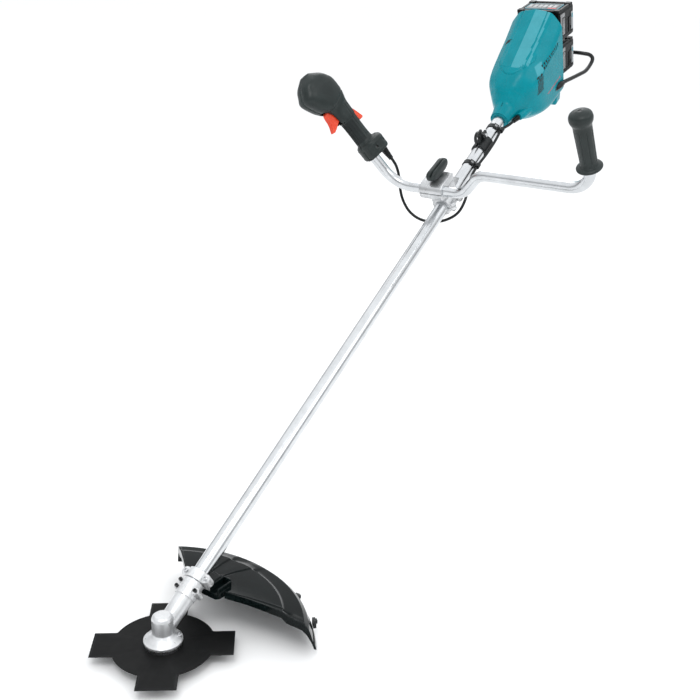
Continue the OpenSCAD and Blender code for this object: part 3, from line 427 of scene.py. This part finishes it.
def curve_through(rows, steps):
    """Catmull-Rom through rows of numbers."""
    p = [np.array(r, float) for r in rows]
    out = []
    for i in range(len(p) - 1):
        a, b, c, d = p[max(i - 1, 0)], p[i], p[i + 1], p[min(i + 2, len(p) - 1)]
        for k in range(steps):
            t = k / steps
            out.append(0.5 * (2 * b + (c - a) * t + (2 * a - 5 * b + 4 * c - d) * t * t
                              + (3 * b - a - 3 * c + d) * t ** 3))
    out.append(p[-1])
    return out


def tube(path, radius, sides=16, hint=(0.3, 0.5, 0.8)):
    rings = []
    side = Vector(hint)
    for i, p in enumerate(path):
        t = (Vector(path[min(i + 1, len(path) - 1)]) - Vector(path[max(i - 1, 0)])).normalized()
        side = (side - t * side.dot(t)).normalized()
        other = t.cross(side)
        r = radius[i] if isinstance(radius, list) else radius
        rings.append([tuple(Vector(p) + side * r * math.cos(2 * math.pi * k / sides)
                            + other * r * math.sin(2 * math.pi * k / sides)) for k in range(sides)])
    return loft(rings)


def step_up(x, low, high):
    t = min(1.0, max(0.0, (x - low) / (high - low)))
    return t * t * (3 - 2 * t)

# ---------------------------------------------------------------- motor housing

# Each section: place along the shaft, lean in degrees, top, drop and half width of the shoulder, upper side
# corner, half width, lower side corner, half width of the bottom, bottom, rounding of the corners

def round_section(place, r):
    corner = 0.414 * r
    return [place, 0, r, 0, corner, corner, r, -corner, corner, -r, 0.4 * r]


HOUSING = [
    round_section(1306, 19), round_section(1320, 21),
    [1338, 0, 27, 1, 11, 12, 25, -9, 12, -23, 10], [1351, 0, 42, 2, 17, 20, 33, -14, 17, -30, 10],
    [1366, 1, 56, 3, 22, 28, 43, -22, 22, -39, 10], [1385, 3, 68, 4, 28, 39, 54, -31, 26, -49, 10],
    [1408, 6, 78, 4, 30, 46, 59, -40, 28, -59, 9], [1446, 9, 90, 4, 33, 58, 60, -50, 30, -70, 8],
    [1484, 12, 103, 4, 36, 70, 60, -54, 30, -75, 8], [1522, 15.5, 119.5, 5, 38, 88, 60, -58, 32, -79, 8]]


def half_outline(s):
    """Evenly split outline of half a section, as (up, out), from the top middle to the bottom middle."""
    _, _, top, drop, shoulder, upper, wide, lower, narrow, bottom, radius = s
    c = [np.array(p, float) for p in (
        (top, 0), (top - drop, shoulder), (upper, wide), (lower, wide), (bottom, narrow), (bottom, 0))]
    ends, out = [], []
    for i in range(1, 5):
        back, on = c[i - 1] - c[i], c[i + 1] - c[i]
        lb, lo = np.linalg.norm(back), np.linalg.norm(on)
        p = c[i] + back / lb * min(radius, lb * (0.5 if i > 1 else 0.95))
        q = c[i] + on / lo * min(radius, lo * (0.5 if i < 4 else 0.95))
        ends.append((p, c[i], q))
    at = c[0]
    for (p, mid, q), count in zip(ends, (34, 26, 90, 12)):
        out += [at + (p - at) * k / count for k in range(count)]
        out += [(1 - t) ** 2 * p + 2 * t * (1 - t) * mid + t * t * q for t in (k / 6 for k in range(6))]
        at = q
    return np.array(out + [at + (c[5] - at) * k / 8 for k in range(9)])


VENT_FROM, VENT_TO, VENT_PITCH = 1432, 1514, 8.2
AS_SHELL, AS_PAINTED_HIGHLIGHT, AS_VENT, AS_LINE = range(4)
HOUSING_FINISHES = [TEAL, TEAL_PAINTED_HIGHLIGHT, VENT, LABEL_RED]


def crease_at(y):
    return 1385 + 0.028 * y * y


def band_start(y):
    """Where the raised band along the top begins."""
    return 1399 + max(0, abs(y) - 14) ** 2 / 12


def in_vent_row(s, n):
    """Two rows of vents that rise a little towards the rear."""
    row = n - (52 + 0.08 * (s - VENT_FROM))
    return -5 < row < -0.6 or 0.8 < row < 5.2


def housing_relief(s, y, n, side):
    """Height of the moulded detail above the plain shell, in mm."""
    top = n > 20 and abs(y) < 40
    h = 0.0
    if top:
        crease = crease_at(y)
        h += 1.5 * step_up(s, crease - 1.2, crease + 1.2) * (1 - step_up(s, crease + 4, crease + 22))
        h -= 1.0 * math.exp(-((s - crease + 1.5) / 1.3) ** 2)
        nose = 1352 + 0.25 * abs(y)
        h += 0.9 * step_up(s, nose - 1, nose + 1) * (1 - step_up(s, nose + 3, nose + 14))
        h += 1.1 * min(step_up(26.5 - abs(y), 0, 1.6), step_up(s, band_start(y), band_start(y) + 2.5))
        if s > 1402:
            h -= 0.9 * math.exp(-((abs(y) - 29) / 0.9) ** 2)
    h -= 0.8 * math.exp(-(y / 0.7) ** 2)
    if side > 0 and VENT_FROM < s < VENT_TO and 40 < abs(y) < 62 and in_vent_row(s, n):
        k = (s - VENT_FROM) % VENT_PITCH
        h -= 1.6 * min(step_up(k, 0.4, 1.2), 1 - step_up(k, 6.2, 7.0))
    return h


def housing_face(s, y, n, side):
    """Which of the housing's finishes a face takes; pale teal on the +Y side is a painted highlight, vent
    faces painted shade.
    """
    # Painted highlight: the top band, the strip beside it and a patch on the side, paler on the +Y side only.
    if n > 20 and side > 0 and 0.8 < y < 26 and s > band_start(y) + 1:
        return AS_PAINTED_HIGHLIGHT
    if n > 20 and side > 0 and 30.5 < y < 34.5 and s > 1412:
        return AS_PAINTED_HIGHLIGHT
    if side > 0 and VENT_FROM < s < VENT_TO and 40 < y < 62 and in_vent_row(s, n):
        if 0.8 < (s - VENT_FROM) % VENT_PITCH < 6.6:
            return AS_VENT
    if side > 0 and y > 40 and 1390 < s < 1428 and 10 < n < 46 and abs(s - 1408 - 0.35 * (n - 28)) < 12:
        if s % 5 < 4.1 and n % 5.2 < 4.2:
            return AS_VENT
    if side > 0 and y > 40 and 46 < n < 62 and abs(s - 1423 - 0.9 * (n - 53)) < 11:
        return AS_PAINTED_HIGHLIGHT
    if side > 0 and y > 50 and 1428 < s < 1500 and abs(n + 14 + 0.04 * (s - 1428)) < 1.5 and s % 5 < 3.4:
        return AS_LINE
    if side < 0 and n > 60 and 1468 < s < 1477 and -44 < y < -30:
        return AS_VENT
    return AS_SHELL


def housing_shell(side, name):
    rings, spots = [], []
    for row in curve_through(HOUSING, 26):
        outline = half_outline(row)
        lean = math.radians(row[1])
        slope = np.gradient(outline, axis=0)
        ring, spot = [], []
        for (x, y), (dx, dy) in zip(outline, slope):
            length = math.hypot(dx, dy) or 1
            s, n = row[0] + x * math.sin(lean), x * math.cos(lean)
            h = housing_relief(s, y * side, n, side)
            x2, y2 = x + h * dy / length, max(0.0, y - h * dx / length)
            ring.append((x2 * math.cos(lean), side * y2, row[0] + x2 * math.sin(lean)))
            spot.append((s, y * side, n))
        rings.append(ring)
        spots.append(spot)
    verts, faces = loft(rings, closed=False, caps=False)
    flat = [p for r in spots for p in r]
    paint = []
    for f in faces:
        s, y, n = (sum(flat[i][k] for i in f) / 4 for k in range(3))
        paint.append(housing_face(s, y, n, side))
    piece(name, verts, faces, SHAFT, HOUSING_FINISHES, "machine", "teal_plastic",
          ["housing_left" if side > 0 else "housing_right"], sharp=24, face_finish=paint, thickness=2.4)


housing_shell(1, "housing_shell_left")
housing_shell(-1, "housing_shell_right")

verts, faces = ring_shape([(14.2, 1305.2), (17.8, 1305.2), (18.9, 1306.4), (18.6, 1309), (14.2, 1309)], 72)
piece("housing_nose_ring", verts, faces, SHAFT, TEAL, "machine", "teal_plastic")
ENTRY = SHAFT @ Matrix.Translation((-6, 29, 1316)) @ Matrix.Rotation(math.radians(-9), 4, "Y") \
    @ Matrix.Rotation(math.radians(-9), 4, "X")
verts, faces = ring_shape([(3.5, 20), (7.6, 20), (8.6, 21), (9.2, 26), (9.6, 26.6), (10.4, 40), (11.5, 58),
                           (3.5, 58)], 48)
piece("cable_entry_boss", verts, faces, ENTRY, TEAL, "machine", "teal_plastic", ["cable_socket"])


def boot(name, frame_of, start, rows, body, node_name):
    profile = [(3.45, start)]
    for z, r in rows:
        profile += [(r, z), (r, z + 1.9), (r - 0.8, z + 2.2), (r - 0.8, z + 2.9)]
    profile += [(rows[-1][1], rows[-1][0] + 3.6), (3.45, rows[-1][0] + 3.6)]
    verts, faces = ring_shape(profile, 40)
    piece(name, verts, faces, frame_of, CABLE, body, "black_plastic", [node_name])


boot("housing_cable_boot", ENTRY, 0, [(3.2 * i, 4.9 + 0.3 * i) for i in range(5)], "machine", "housing_gland")

# Hook tab under the housing, and the ferrules that hold the rear guard
verts, faces = prism([(-70, 28), (-82, 31), (-85, 35), (-85, 48), (-81, 52), (-62, 56), (-60, 40)],
                     1478, 1500)
piece("housing_tab", verts, faces, SHAFT, TEAL, "machine", "teal_plastic", bevel=2.2, segments=3)
GUARD_PATH = [
    [-47, 59, -43], [-42, 64, -24], [-41, 66, -4], [-44, 70, 32], [-46, 75, 66], [-47, 78, 92],
    [-42, 78, 120], [-33, 77, 137], [-24, 70, 137], [-20, 56, 133], [-18, 36, 131], [-17, 0, 130]]
whole = GUARD_PATH + [[x, -y, z] for x, y, z in reversed(GUARD_PATH[:-1])]
verts, faces = tube([tuple(p) for p in curve_through(whole, 6)], 4.5, 20)
piece("rear_guard_tube", verts, faces, RIM, TUBE_PAINT, "machine", "black_steel", ["rear_guard"], sharp=60)
for side in (-1, 1):
    path = [tuple(p) for p in curve_through([[x, side * y, z] for x, y, z in GUARD_PATH[:3]], 5)][2:9]
    verts, faces = tube(path, [5.6, 6.6, 7.2, 7.2, 7.0, 6.4, 5.4], 24)
    piece(f"guard_ferrule_{'right' if side < 0 else 'left'}", verts, faces, RIM, BLACK, "machine",
          "black_plastic", bevel=0.6)

# ---------------------------------------------------------------- batteries

PACK_TOP, PACK_PITCH = 114, 79


def battery_trim(name, top, body, label):
    """Frame, corner blocks, ribs, bumps and strips that sit on the battery's case."""
    parts = []
    for y in (-44, 44):
        for z in (13, 74):
            parts.append(slab((7, 15, 14), (top - 0.5, y, z)))
    parts.append(slab((5, 94, 7), (top - 0.9, 0, 11.6)))
    parts.append(slab((5, 94, 8), (top - 0.9, 0, 79.0)))
    for y in (-47, 47):
        parts.append(slab((5, 7, 60), (top - 0.9, y, 45)))
    for k in range(2):
        parts.append(slab((34, 3.2, 5), (top - 42, 52, 18 + 40 * k)))
    parts.append(slab((9, 3.6, 60), (top - 62, 51.4, 44)))
    for y in (-30, 0, 30):
        parts.append(slab((48, 25, 2.2), (top - 35, y, 84.3)))
    for x in (-8, -62):
        parts.append(slab((6, 88, 3), (top + x, 0, 84.0)))
    verts, faces = joined(*parts)
    piece(name + "_frame", verts, faces, RIM, PACK, body, "battery_plastic", bevel=1.8, segments=3)
    ribs = [slab((38, 2.2, 4.2), (top - 37, 53.2, 22.5 + 6.3 * k)) for k in range(2)]
    ribs += [slab((42, 2.4, 6.4), (top - 36, 52.8, 14))]
    ribs += [slab((9, 3.2, 22), (top - 12, 52.4, 22))]
    verts, faces = joined(*ribs)
    piece(name + "_ribs", verts, faces, RIM, SILVER_PAINT, body, "battery_plastic", bevel=1.0, segments=3)
    verts, faces = slab((40, 1.6, 9), (top - 36, 53.0, 73.5))
    piece(name + "_strip", verts, faces, RIM, LABEL, body, "battery_plastic", bevel=0.6)
    verts, faces = slab((9, 2.0, 6), (top - 25, 53.2, 73.5))
    piece(name + "_mark", verts, faces, RIM, LABEL_TEAL, body, "battery_plastic", bevel=0.5)
    if label:
        verts, faces = slab((1.6, 82, 40), (top + 0.55, -1, 42))
        piece(name + "_label", verts, faces, RIM, LABEL_TEAL, body, "battery_plastic", bevel=0.5)
        verts, faces = slab((1.6, 77, 35), (top + 0.8, -1, 42))
        piece(name + "_label_ground", verts, faces, RIM, BLACK, body, "battery_plastic", bevel=0.5)
        blocks = [slab((1.6, 9, 19), (top + 1.1, -34 + 12 * k, 44)) for k in range(6)]
        blocks += [slab((1.6, 44, 3), (top + 1.1, -16, 29))]
        verts, faces = joined(*blocks)
        piece(name + "_label_panel", verts, faces, RIM, LABEL, body, "battery_plastic", bevel=0.5)
        verts, faces = slab((1.6, 20, 7), (top + 1.3, 24, 28.5))
        piece(name + "_label_block", verts, faces, RIM, LABEL_RED, body, "battery_plastic", bevel=0.5)


battery_trim("upper_pack", PACK_TOP, "upper_pack", True)
battery_trim("lower_pack", PACK_TOP - PACK_PITCH, "lower_pack", False)

# ---------------------------------------------------------------- trigger grip

# Each section: height along the grip, front, back, half width, power of the rounded outline
GRIP_SECTIONS = [
    [7, -13.5, 40, 24.5, 2.3], [10, -15, 42, 27, 2.4], [34, -15, 42, 27.5, 2.4], [40.5, -13.5, 38, 21, 2.4],
    [47, -13, 27, 14.7, 2.4], [98, -13, 27, 14.7, 2.4], [104, -20, 28, 17, 2.5], [130, -26, 29, 19, 2.5],
    [143, -38, 31, 22.5, 2.8], [157, -49, 34, 24.5, 3], [182, -61, 33, 26, 3.1], [196, -54, 26, 25, 3],
    [209, -43, 14, 22.5, 2.8], [222, -24, -4, 10, 2.3]]
SLOT_HALF = 7.5


def in_trigger_slot(t, z):
    return 101.5 < t < 145 and z < -8


def grip_relief(t, y, z):
    """Height of the moulded detail above the plain grip, in mm."""
    h = -0.8 * math.exp(-(y / 0.7) ** 2)
    h -= 1.1 * math.exp(-((t - 146 - 0.3 * z) / 1.5) ** 2) * (1 if t < 170 else 0)
    ends = step_up(t, 47, 52) * (1 - step_up(t, 92, 96))
    if ends > 0 and z < 4:
        for groove in (3, 7.2, 11.2, 14):
            h -= 1.1 * ends * math.exp(-((y - groove) / 0.8) ** 2) * step_up(4 - z, 0, 3)
    if 50 < t < 134 and 7 < z < 21 and y > 8:
        edge = min(t - 50, 134 - t, z - 7, 21 - z)
        h -= 1.0 * step_up(edge, 0, 1.0) - 0.8 * step_up(edge, 2.2, 3.2)
    if 7 < t < 34:
        h += 0.7 * math.exp(-((t - 12) / 1.6) ** 2) + 0.7 * math.exp(-((t - 31) / 1.6) ** 2)
    return h


def grip_shell(side, name, node_name):
    rows = curve_through(GRIP_SECTIONS, 14)
    count = 56
    rings, spots = [], []
    for row in rows:
        t, front, back, w, power = row
        mid, half = (front + back) / 2, (back - front) / 2
        ring, spot = [], []
        for i in range(count + 1):
            a = math.pi * i / count
            y = w * abs(math.sin(a)) ** (2 / power)
            z = half * math.copysign(abs(math.cos(a)) ** (2 / power), math.cos(a))
            length = math.hypot(y / w ** 2, z / half ** 2) or 1
            h = grip_relief(t, y, mid + z)
            y2 = max(0.0, y + h * (y / w ** 2) / length)
            z2 = z + h * (z / half ** 2) / length
            if in_trigger_slot(t, mid + z):
                y2 = max(y2, SLOT_HALF)
            ring.append((t, side * y2, mid + z2))
            spot.append((t, y, mid + z))
        rings.append(ring)
        spots.append(spot)
    verts, faces = loft(rings, closed=False, caps=False)
    flat = [p for r in spots for p in r]
    paint, kept = [], []
    for f in faces:
        t, y, z = (sum(flat[i][k] for i in f) / 4 for k in range(3))
        lever_slot = 77.4 < t < 115 and y < 7
        button_hole = math.hypot(t - 178, y) < 7.5 or math.hypot(t - 156, y) < 5
        screw_hole = side > 0 and any(math.hypot(t - 22, z - at) < 3.2 for at in (26, 1))
        if in_trigger_slot(t, z) and y < SLOT_HALF or z > 18 and (lever_slot or button_hole) or screw_hole:
            continue
        kept.append(f)
        paint.append(1 if 48 < t < 97 and z < 4 else 0)
    piece(name, verts, kept, GRIP, [GRIP_RUBBER, RIBBED], "handle", "grip_plastic", [node_name],
          sharp=30, face_finish=paint, thickness=2.2)


grip_shell(1, "grip_shell_inner", "trigger_grip_inner")
grip_shell(-1, "grip_shell_outer", "trigger_grip_outer")
collar = ring_shape([(11.1, 5.2), (14.4, 5.2), (15.6, 6.2), (15.6, 8.6), (11.1, 8.6)], 64)
piece("grip_collar_ring", *moved(collar, turn=(0, 90, 0)), GRIP, BLACK, "handle", "grip_plastic")
BOOT = GRIP @ Matrix.Translation((-24, 1, 34)) @ Matrix.Rotation(math.radians(90), 4, "Y")
boot("grip_cable_boot", BOOT, 0, [(3.8 * i, 5.2 + 0.38 * i) for i in range(8)], "handle", "grip_gland")

verts, faces = cross_prism([
    (141, -24), (141.5, -33), (138, -37.5), (131, -39), (123, -40), (115, -42.5), (107, -47), (102.5, -49.5),
    (100.6, -46.5), (103, -38), (107, -28), (111, -18), (115, -11), (124, -9), (138, -9)], 5.6)
piece("trigger_blade", verts, faces, GRIP, ORANGE, "throttle", "signal_orange", ["trigger"], bevel=1.6,
      segments=4)
verts, faces = cross_prism([(108, 23), (113, 29.3), (104, 34), (84, 41.4), (80.8, 39.4), (81.2, 29.6),
                            (96, 23.8)], 5.3)
piece("lock_lever_pad", verts, faces, GRIP, ORANGE, "lock_off", "signal_orange", ["lock_off_lever"],
      bevel=1.3, segments=3)

# ---------------------------------------------------------------- plain grip

BEND, BEND_R, LEG = math.radians(50), 40, 32
ARM_AT = (2 * BEND_R * (1 - math.cos(BEND)) + LEG * math.sin(BEND) + 45,
          50 + 2 * BEND_R * math.sin(BEND) + LEG * math.cos(BEND) + 168, 0)
ARM = BAR @ Matrix.Translation(ARM_AT) @ Matrix.Rotation(math.radians(-4), 4, "Z") \
    @ Matrix.Translation((20, 45, 0)) @ Matrix.Rotation(math.radians(90), 4, "Y")


def plain_grip():
    outline = [
        (11.1, -18), (22.4, -18), (24, -17.2), (24.5, -15.5), (23.6, -13.6), (20, -11.6), (17.2, -10.4),
        (16.4, -8.6), (16, -4), (16, 6), (16.4, 26), (16.9, 50), (17.3, 66), (17.9, 73), (19.4, 76.6),
        (21, 80), (21.9, 84), (22, 87), (21.2, 91.6), (19, 95.2), (14.6, 98), (8, 100.2), (3.5, 100.8),
        (3.3, 98.5), (0.4, 98.5)]
    rows = [tuple(p) for p in curve_through(outline, 5)]

    def ribs(angle, i):
        z = rows[i][1]
        share = step_up(z, -6, -2) * (1 - step_up(z, 62, 68))
        return 1.1 * share * (min(1.0, abs(math.sin(angle * 4)) * 4) - 0.9)

    verts, faces = lathe(rows, 144, ribs)
    piece("plain_grip_sleeve", verts, faces, ARM, GRIP_RUBBER, "handle", "grip_plastic", ["plain_grip"],
          sharp=38)


plain_grip()

# ---------------------------------------------------------------- bar clamp and knob

BLOCK_HALF = 26
verts, faces = cross_prism([(0.4, -17), (7, -17.4), (13.4, -12), (16.6, -2), (17, 8), (17, 42.6),
                            (0.4, 42.6)], BLOCK_HALF)
piece("bar_cap", verts, faces, BAR, CAST, "machine", "cast_alloy", ["bar_clamp_cap"], bevel=2.4, segments=4)
verts, faces = cross_prism([(-0.4, -17), (-8, -17), (-14, -14), (-17, -8), (-17, 42.6), (-0.4, 42.6)],
                           BLOCK_HALF)
piece("bar_block", verts, faces, BAR, CAST, "machine", "cast_alloy", bevel=2.4, segments=4)


def half_ring(r_in, r_out, z0, z1, reach):
    return prism(arc(r_out, -reach, reach, 40) + arc(r_in, reach, -reach, 40), z0, z1)


def ears(x, thick, places):
    return [moved(prism(circle(7, 32), 0, thick), (x, side * 19.5, s), (0, 90, 0))
            for side in (-1, 1) for s in places]


rim = half_ring(14.05, 22, 1018, 1024, 86)
verts, faces = joined(half_ring(14.05, 20.4, 1018.5, 1070, 88), rim, *ears(0.4, 9.6, (1029, 1059)),
                      slab((24, 26, 38), (30, 0, 1042)))
piece("saddle_top", verts, faces, SHAFT, CAST, "machine", "cast_alloy", ["bar_holder"], bevel=1.2, segments=3)
verts, faces = cross_prism([(16, 1046), (16, 1092), (20, 1092), (56, 1050), (56, 1034), (30, 1034)], 9)
piece("knob_strut", verts, faces, SHAFT, CAST, "machine", "cast_alloy", bevel=2.2, segments=3)


def knob():
    """Two-lobed wing with a deep groove along it, on a round foot."""
    rings = []
    for i in range(41):
        u = -35 + 70 * i / 40
        end = max(0.0, 1 - (abs(u) / 35.5) ** 6) ** 0.5
        w = (9.9 + 1.2 * (abs(u) / 35) ** 2) * end + 0.4
        low, high = 1.2 + 5.2 * step_up(abs(u), 12, 35), 23.6 - 3.0 * step_up(abs(u), 22, 35)
        mid = (low + high) / 2
        h = (high - low) / 2 * (0.35 + 0.65 * end)
        ring = []
        for k in range(48):
            a = 2 * math.pi * k / 48
            x = w * math.copysign(abs(math.cos(a)) ** 0.6, math.cos(a))
            z = mid + h * math.copysign(abs(math.sin(a)) ** 0.6, math.sin(a))
            if math.sin(a) > 0.2:
                z -= 7 * math.exp(-((x - 2.4) / 1.5) ** 2) * step_up(35 - abs(u), 0, 5)
            ring.append((u, x, z))
        rings.append(ring)
    return loft(rings)


KNOB = BAR @ Matrix.Translation((17.4, 0, 27)) @ Matrix.Rotation(math.radians(90), 4, "Y")
foot = lathe([(8, 0.2), (10.6, 0.4), (11, 1.0), (10.4, 3.4), (9.4, 5)], 48)
verts, faces = joined(knob(), foot)
piece("knob_wing", verts, faces, KNOB, GRIP_RUBBER, "knob", "grip_plastic", ["clamp_knob"], sharp=40)
verts, faces = lathe([(3.9, -38), (3.95, -37.4), (3.95, 1)], 40)
piece("knob_bolt", verts, faces, KNOB, STEEL, "knob", "steel")

# ---------------------------------------------------------------- control cable

ROUTE = [
    [1047, -122, 110], [1046, -115, 98], [1045, -109, 87], [1043, -104, 75], [1037, -100, 57],
    [1025, -97, 36], [1010, -88, 14], [998, -71, -6], [994, -48, -20], [1000, -22, -29], [1014, 4, -31],
    [1034, 24, -25], [1060, 31, -12], [1090, 27, 0], [1120, 22, 4], [1150, 21, 4], [1195, 23, 3],
    [1235, 23, 3], [1272, 21, 3], [1300, 26.5, -3.5], [1322, 30, -7], [1344, 33.4, -10.4],
    [1362, 36.2, -13.2]]
verts, faces = tube([(p[2], p[1], p[0]) for p in curve_through(ROUTE, 7)], 3.0, 14)
cable = piece("control_cable_run", verts, faces, SHAFT, CABLE, None, "cable_rubber", ["control_cable"],
              sharp=60)
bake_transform(cable)

# Buckles of the two cable straps, on the side of the pipe that faces up and left
STRAPS, STRAP_TURN = (1150, 1272), (0, 0, 38)
buckles = [moved(slab((2.6, 11, 12), (16.2, 0, s)), turn=STRAP_TURN) for s in STRAPS]
verts, faces = joined(*buckles)
piece("strap_buckles", verts, faces, SHAFT, BLACK, "machine", "black_plastic", bevel=0.8, segments=2)
tongues = [moved(slab((1.0, 6, 5), (17.8, 0, s)), turn=STRAP_TURN) for s in STRAPS]
verts, faces = joined(*tongues)
piece("strap_tongues", verts, faces, SHAFT, SILVER_PAINT, "machine", "steel", bevel=0.3, segments=2)

# ---------------------------------------------------------------- cutter guard

GUARD_R, GUARD_INNER_R = 228, 112
GUARD_FROM, GUARD_TO, GUARD_INNER_FROM, GUARD_INNER_TO = 217, 126, 202, 158
GUARD_TOP = [
    (0, 59), (0.06, 59), (0.3, 57.6), (0.5, 55), (0.7, 51.4), (0.735, 50.2), (0.76, 46.6), (0.8, 43.6),
    (0.9, 41), (0.985, 38.6), (1.0, 38), (1.02, 35.4), (1.06, 30), (1.075, 25), (1.1, 15), (1.12, 6),
    (1.135, 5), (1.15, -1.5), (1.155, -4)]
GUARD_RIDGES = ((187, 2.4), (172, 2.0))
GUARD_UNDER = [(1.125, -4), (1.1, 5), (1.035, 28), (0.97, 35), (0.78, 40), (0.72, 48), (0.3, 55), (0, 56)]


def guard_point(u, v, z):
    """u runs round the guard, v from its inner edge to its rim."""
    inner = math.radians(GUARD_INNER_FROM + (GUARD_INNER_TO - GUARD_INNER_FROM) * u)
    outer = math.radians(GUARD_FROM + (GUARD_TO - GUARD_FROM) * u)
    a = GUARD_INNER_R * np.array([math.cos(inner), math.sin(inner)])
    b = GUARD_R * np.array([math.cos(outer), math.sin(outer)])
    p = a + (b - a) * v
    return p[0], p[1], z + 7 * max(0, 1 - 2 * u) * min(1, v)


def guard_body():
    us = [0, 0.006, 0.013, 0.0145] + [i / 160 for i in range(4, 157)] + [0.9855, 0.987, 0.994, 1]
    rings = []
    for u in us:
        edge = u < 0.0137 or u > 0.9863
        az = GUARD_FROM + (GUARD_TO - GUARD_FROM) * u
        ring = []
        for v, z in GUARD_TOP:
            top = z
            if v < 0.98:
                for at, height in GUARD_RIDGES:
                    d = az - at
                    top += height * (step_up(d, -0.8, 0.8) * (1 - step_up(d, 4, 14))) * step_up(v, 0.02, 0.1)
                top -= 1.2 * math.exp(-((u - 0.965) / 0.006) ** 2)
            ring.append(guard_point(u, v, top + (0.6 if edge and v < 1 else 0)))
        for v, z in GUARD_UNDER:
            ring.append(guard_point(u, v, z - (9 if edge and v < 1.05 else 0)))
        rings.append(ring)
    return loft(rings)


block = prism([(-126, -33), (-120, -39), (-96, -39), (-90, -33), (-90, 33), (-96, 39), (-120, 39),
               (-126, 33)], 48, 59.4)
walls = [slab((3.6, 70, 17), (-127.5, 0, 61)), slab((34, 3.6, 15), (-110, 36, 60)),
         slab((34, 3.6, 15), (-110, -36, 60)), slab((33, 44, 11), (-108.5, 0, 65)),
         slab((24, 12, 3), (-112, 13, 71)), slab((24, 12, 3), (-112, -13, 71))]
verts, faces = guard_body()
piece("guard_shell", verts, faces, CUTTER, GUARD, "machine", "guard_plastic", ["cutter_guard"], sharp=22)
verts, faces = joined(block, *walls)
piece("guard_pocket", verts, faces, CUTTER, GUARD, "machine", "guard_plastic", bevel=1.6, segments=3)

# ---------------------------------------------------------------- blade

DISC_R, ARM_R, ARM_HALF = 84, 115, 32


def blade_outline(inset, count=720):
    """Four arms on a disc; the inset pulls in the arms' edges."""
    pts = []
    for k in range(count):
        a = 2 * math.pi * k / count
        best = DISC_R
        for q in range(4):
            d = (a - q * math.pi / 2 + math.pi) % (2 * math.pi) - math.pi
            if abs(d) < math.pi / 2 - 0.01:
                reach = min((ARM_R - inset) / math.cos(d), (ARM_HALF - inset) / max(1e-6, abs(math.sin(d))))
                best = max(best, reach)
        pts.append((best * math.cos(a), best * math.sin(a)))
    return pts


def blade_body():
    rings = []
    for inset, z in ((4.2, -0.9), (0, -0.2), (0, 0.2), (4.2, 0.9)):
        rings.append([(x, y, z) for x, y in blade_outline(inset)])
    n = len(rings[0])
    hole = circle(6, n)
    full = [[(x, y, -0.9) for x, y in hole]] + rings + [[(x, y, 0.9) for x, y in hole]]
    verts, faces = loft(full, caps=False)
    last = (len(full) - 1) * n
    faces += [(k, (k + 1) % n, last + (k + 1) % n, last + k) for k in range(n)]
    paint = []
    for f in faces:
        zs = [verts[i][2] for i in f]
        rs = [math.hypot(verts[i][0], verts[i][1]) for i in f]
        paint.append(1 if max(rs) > 84.6 and max(zs) - min(zs) > 0.3 else 0)
    return verts, faces, paint


verts, faces, paint = blade_body()
piece("blade_plate", verts, faces, CUTTER @ Matrix.Rotation(math.radians(38), 4, "Z"),
      [BLADE_STEEL, GROUND_EDGE], "cutter", "blade_steel", ["cutter_blade"], sharp=15, face_finish=paint)

# ---------------------------------------------------------------- studio


def area_light(name, place, aim, size, power):
    data = bpy.data.lights.new(name, "AREA")
    data.shape = "SQUARE"
    data.size = size
    data.energy = power
    ob = bpy.data.objects.new(name, data)
    bpy.context.scene.collection.objects.link(ob)
    ob.location = place
    ob.rotation_euler = (Vector(aim) - Vector(place)).to_track_quat("-Z", "Y").to_euler()


def studio():
    world = bpy.data.worlds.new("world")
    bpy.context.scene.world = world
    world.use_nodes = True
    t = world.node_tree
    sky = t.nodes["Background"]
    sky.inputs["Color"].default_value = (0.97, 0.985, 1.0, 1)
    height = t.nodes.new("ShaderNodeSeparateXYZ")
    t.links.new(t.nodes.new("ShaderNodeTexCoord").outputs["Generated"], height.inputs[0])
    dome = spread(t, height.outputs["Z"], 0.06, 0.62, 0.34, 1.2)
    glow = spread(t, height.outputs["Z"], 0.02, 0.09, 0.8, 0)
    both = t.nodes.new("ShaderNodeMath")
    t.links.new(dome, both.inputs[0])
    t.links.new(glow, both.inputs[1])
    t.links.new(both.outputs[0], sky.inputs["Strength"])
    area_light("key", (2.6, 0.9, 3.0), (0.4, 0, -0.2), 1.4, 34)
    area_light("fill", (0.4, 3.2, 2.4), (0.4, 0, -0.2), 1.8, 20)
    area_light("back", (-2.6, -1.8, 3.0), (0.4, 0, -0.3), 2.0, 30)
    bpy.context.scene.view_settings.view_transform = "Standard"
    low = cad_box[0][2] - 0.004
    mesh = bpy.data.meshes.new("floor")
    far = 90
    mesh.from_pydata([(-far, -far, low), (far, -far, low), (far, far, low), (-far, far, low)], [],
                     [(0, 1, 2, 3)])
    floor = bpy.data.objects.new("floor", mesh)
    bpy.context.scene.collection.objects.link(floor)
    m = bpy.data.materials.new("floor_paper")
    m.use_nodes = True
    b = m.node_tree.nodes["Principled BSDF"]
    b.inputs["Base Color"].default_value = (0.97, 0.97, 0.97, 1)
    b.inputs["Roughness"].default_value = 0.9
    mesh.materials.append(m)


studio()
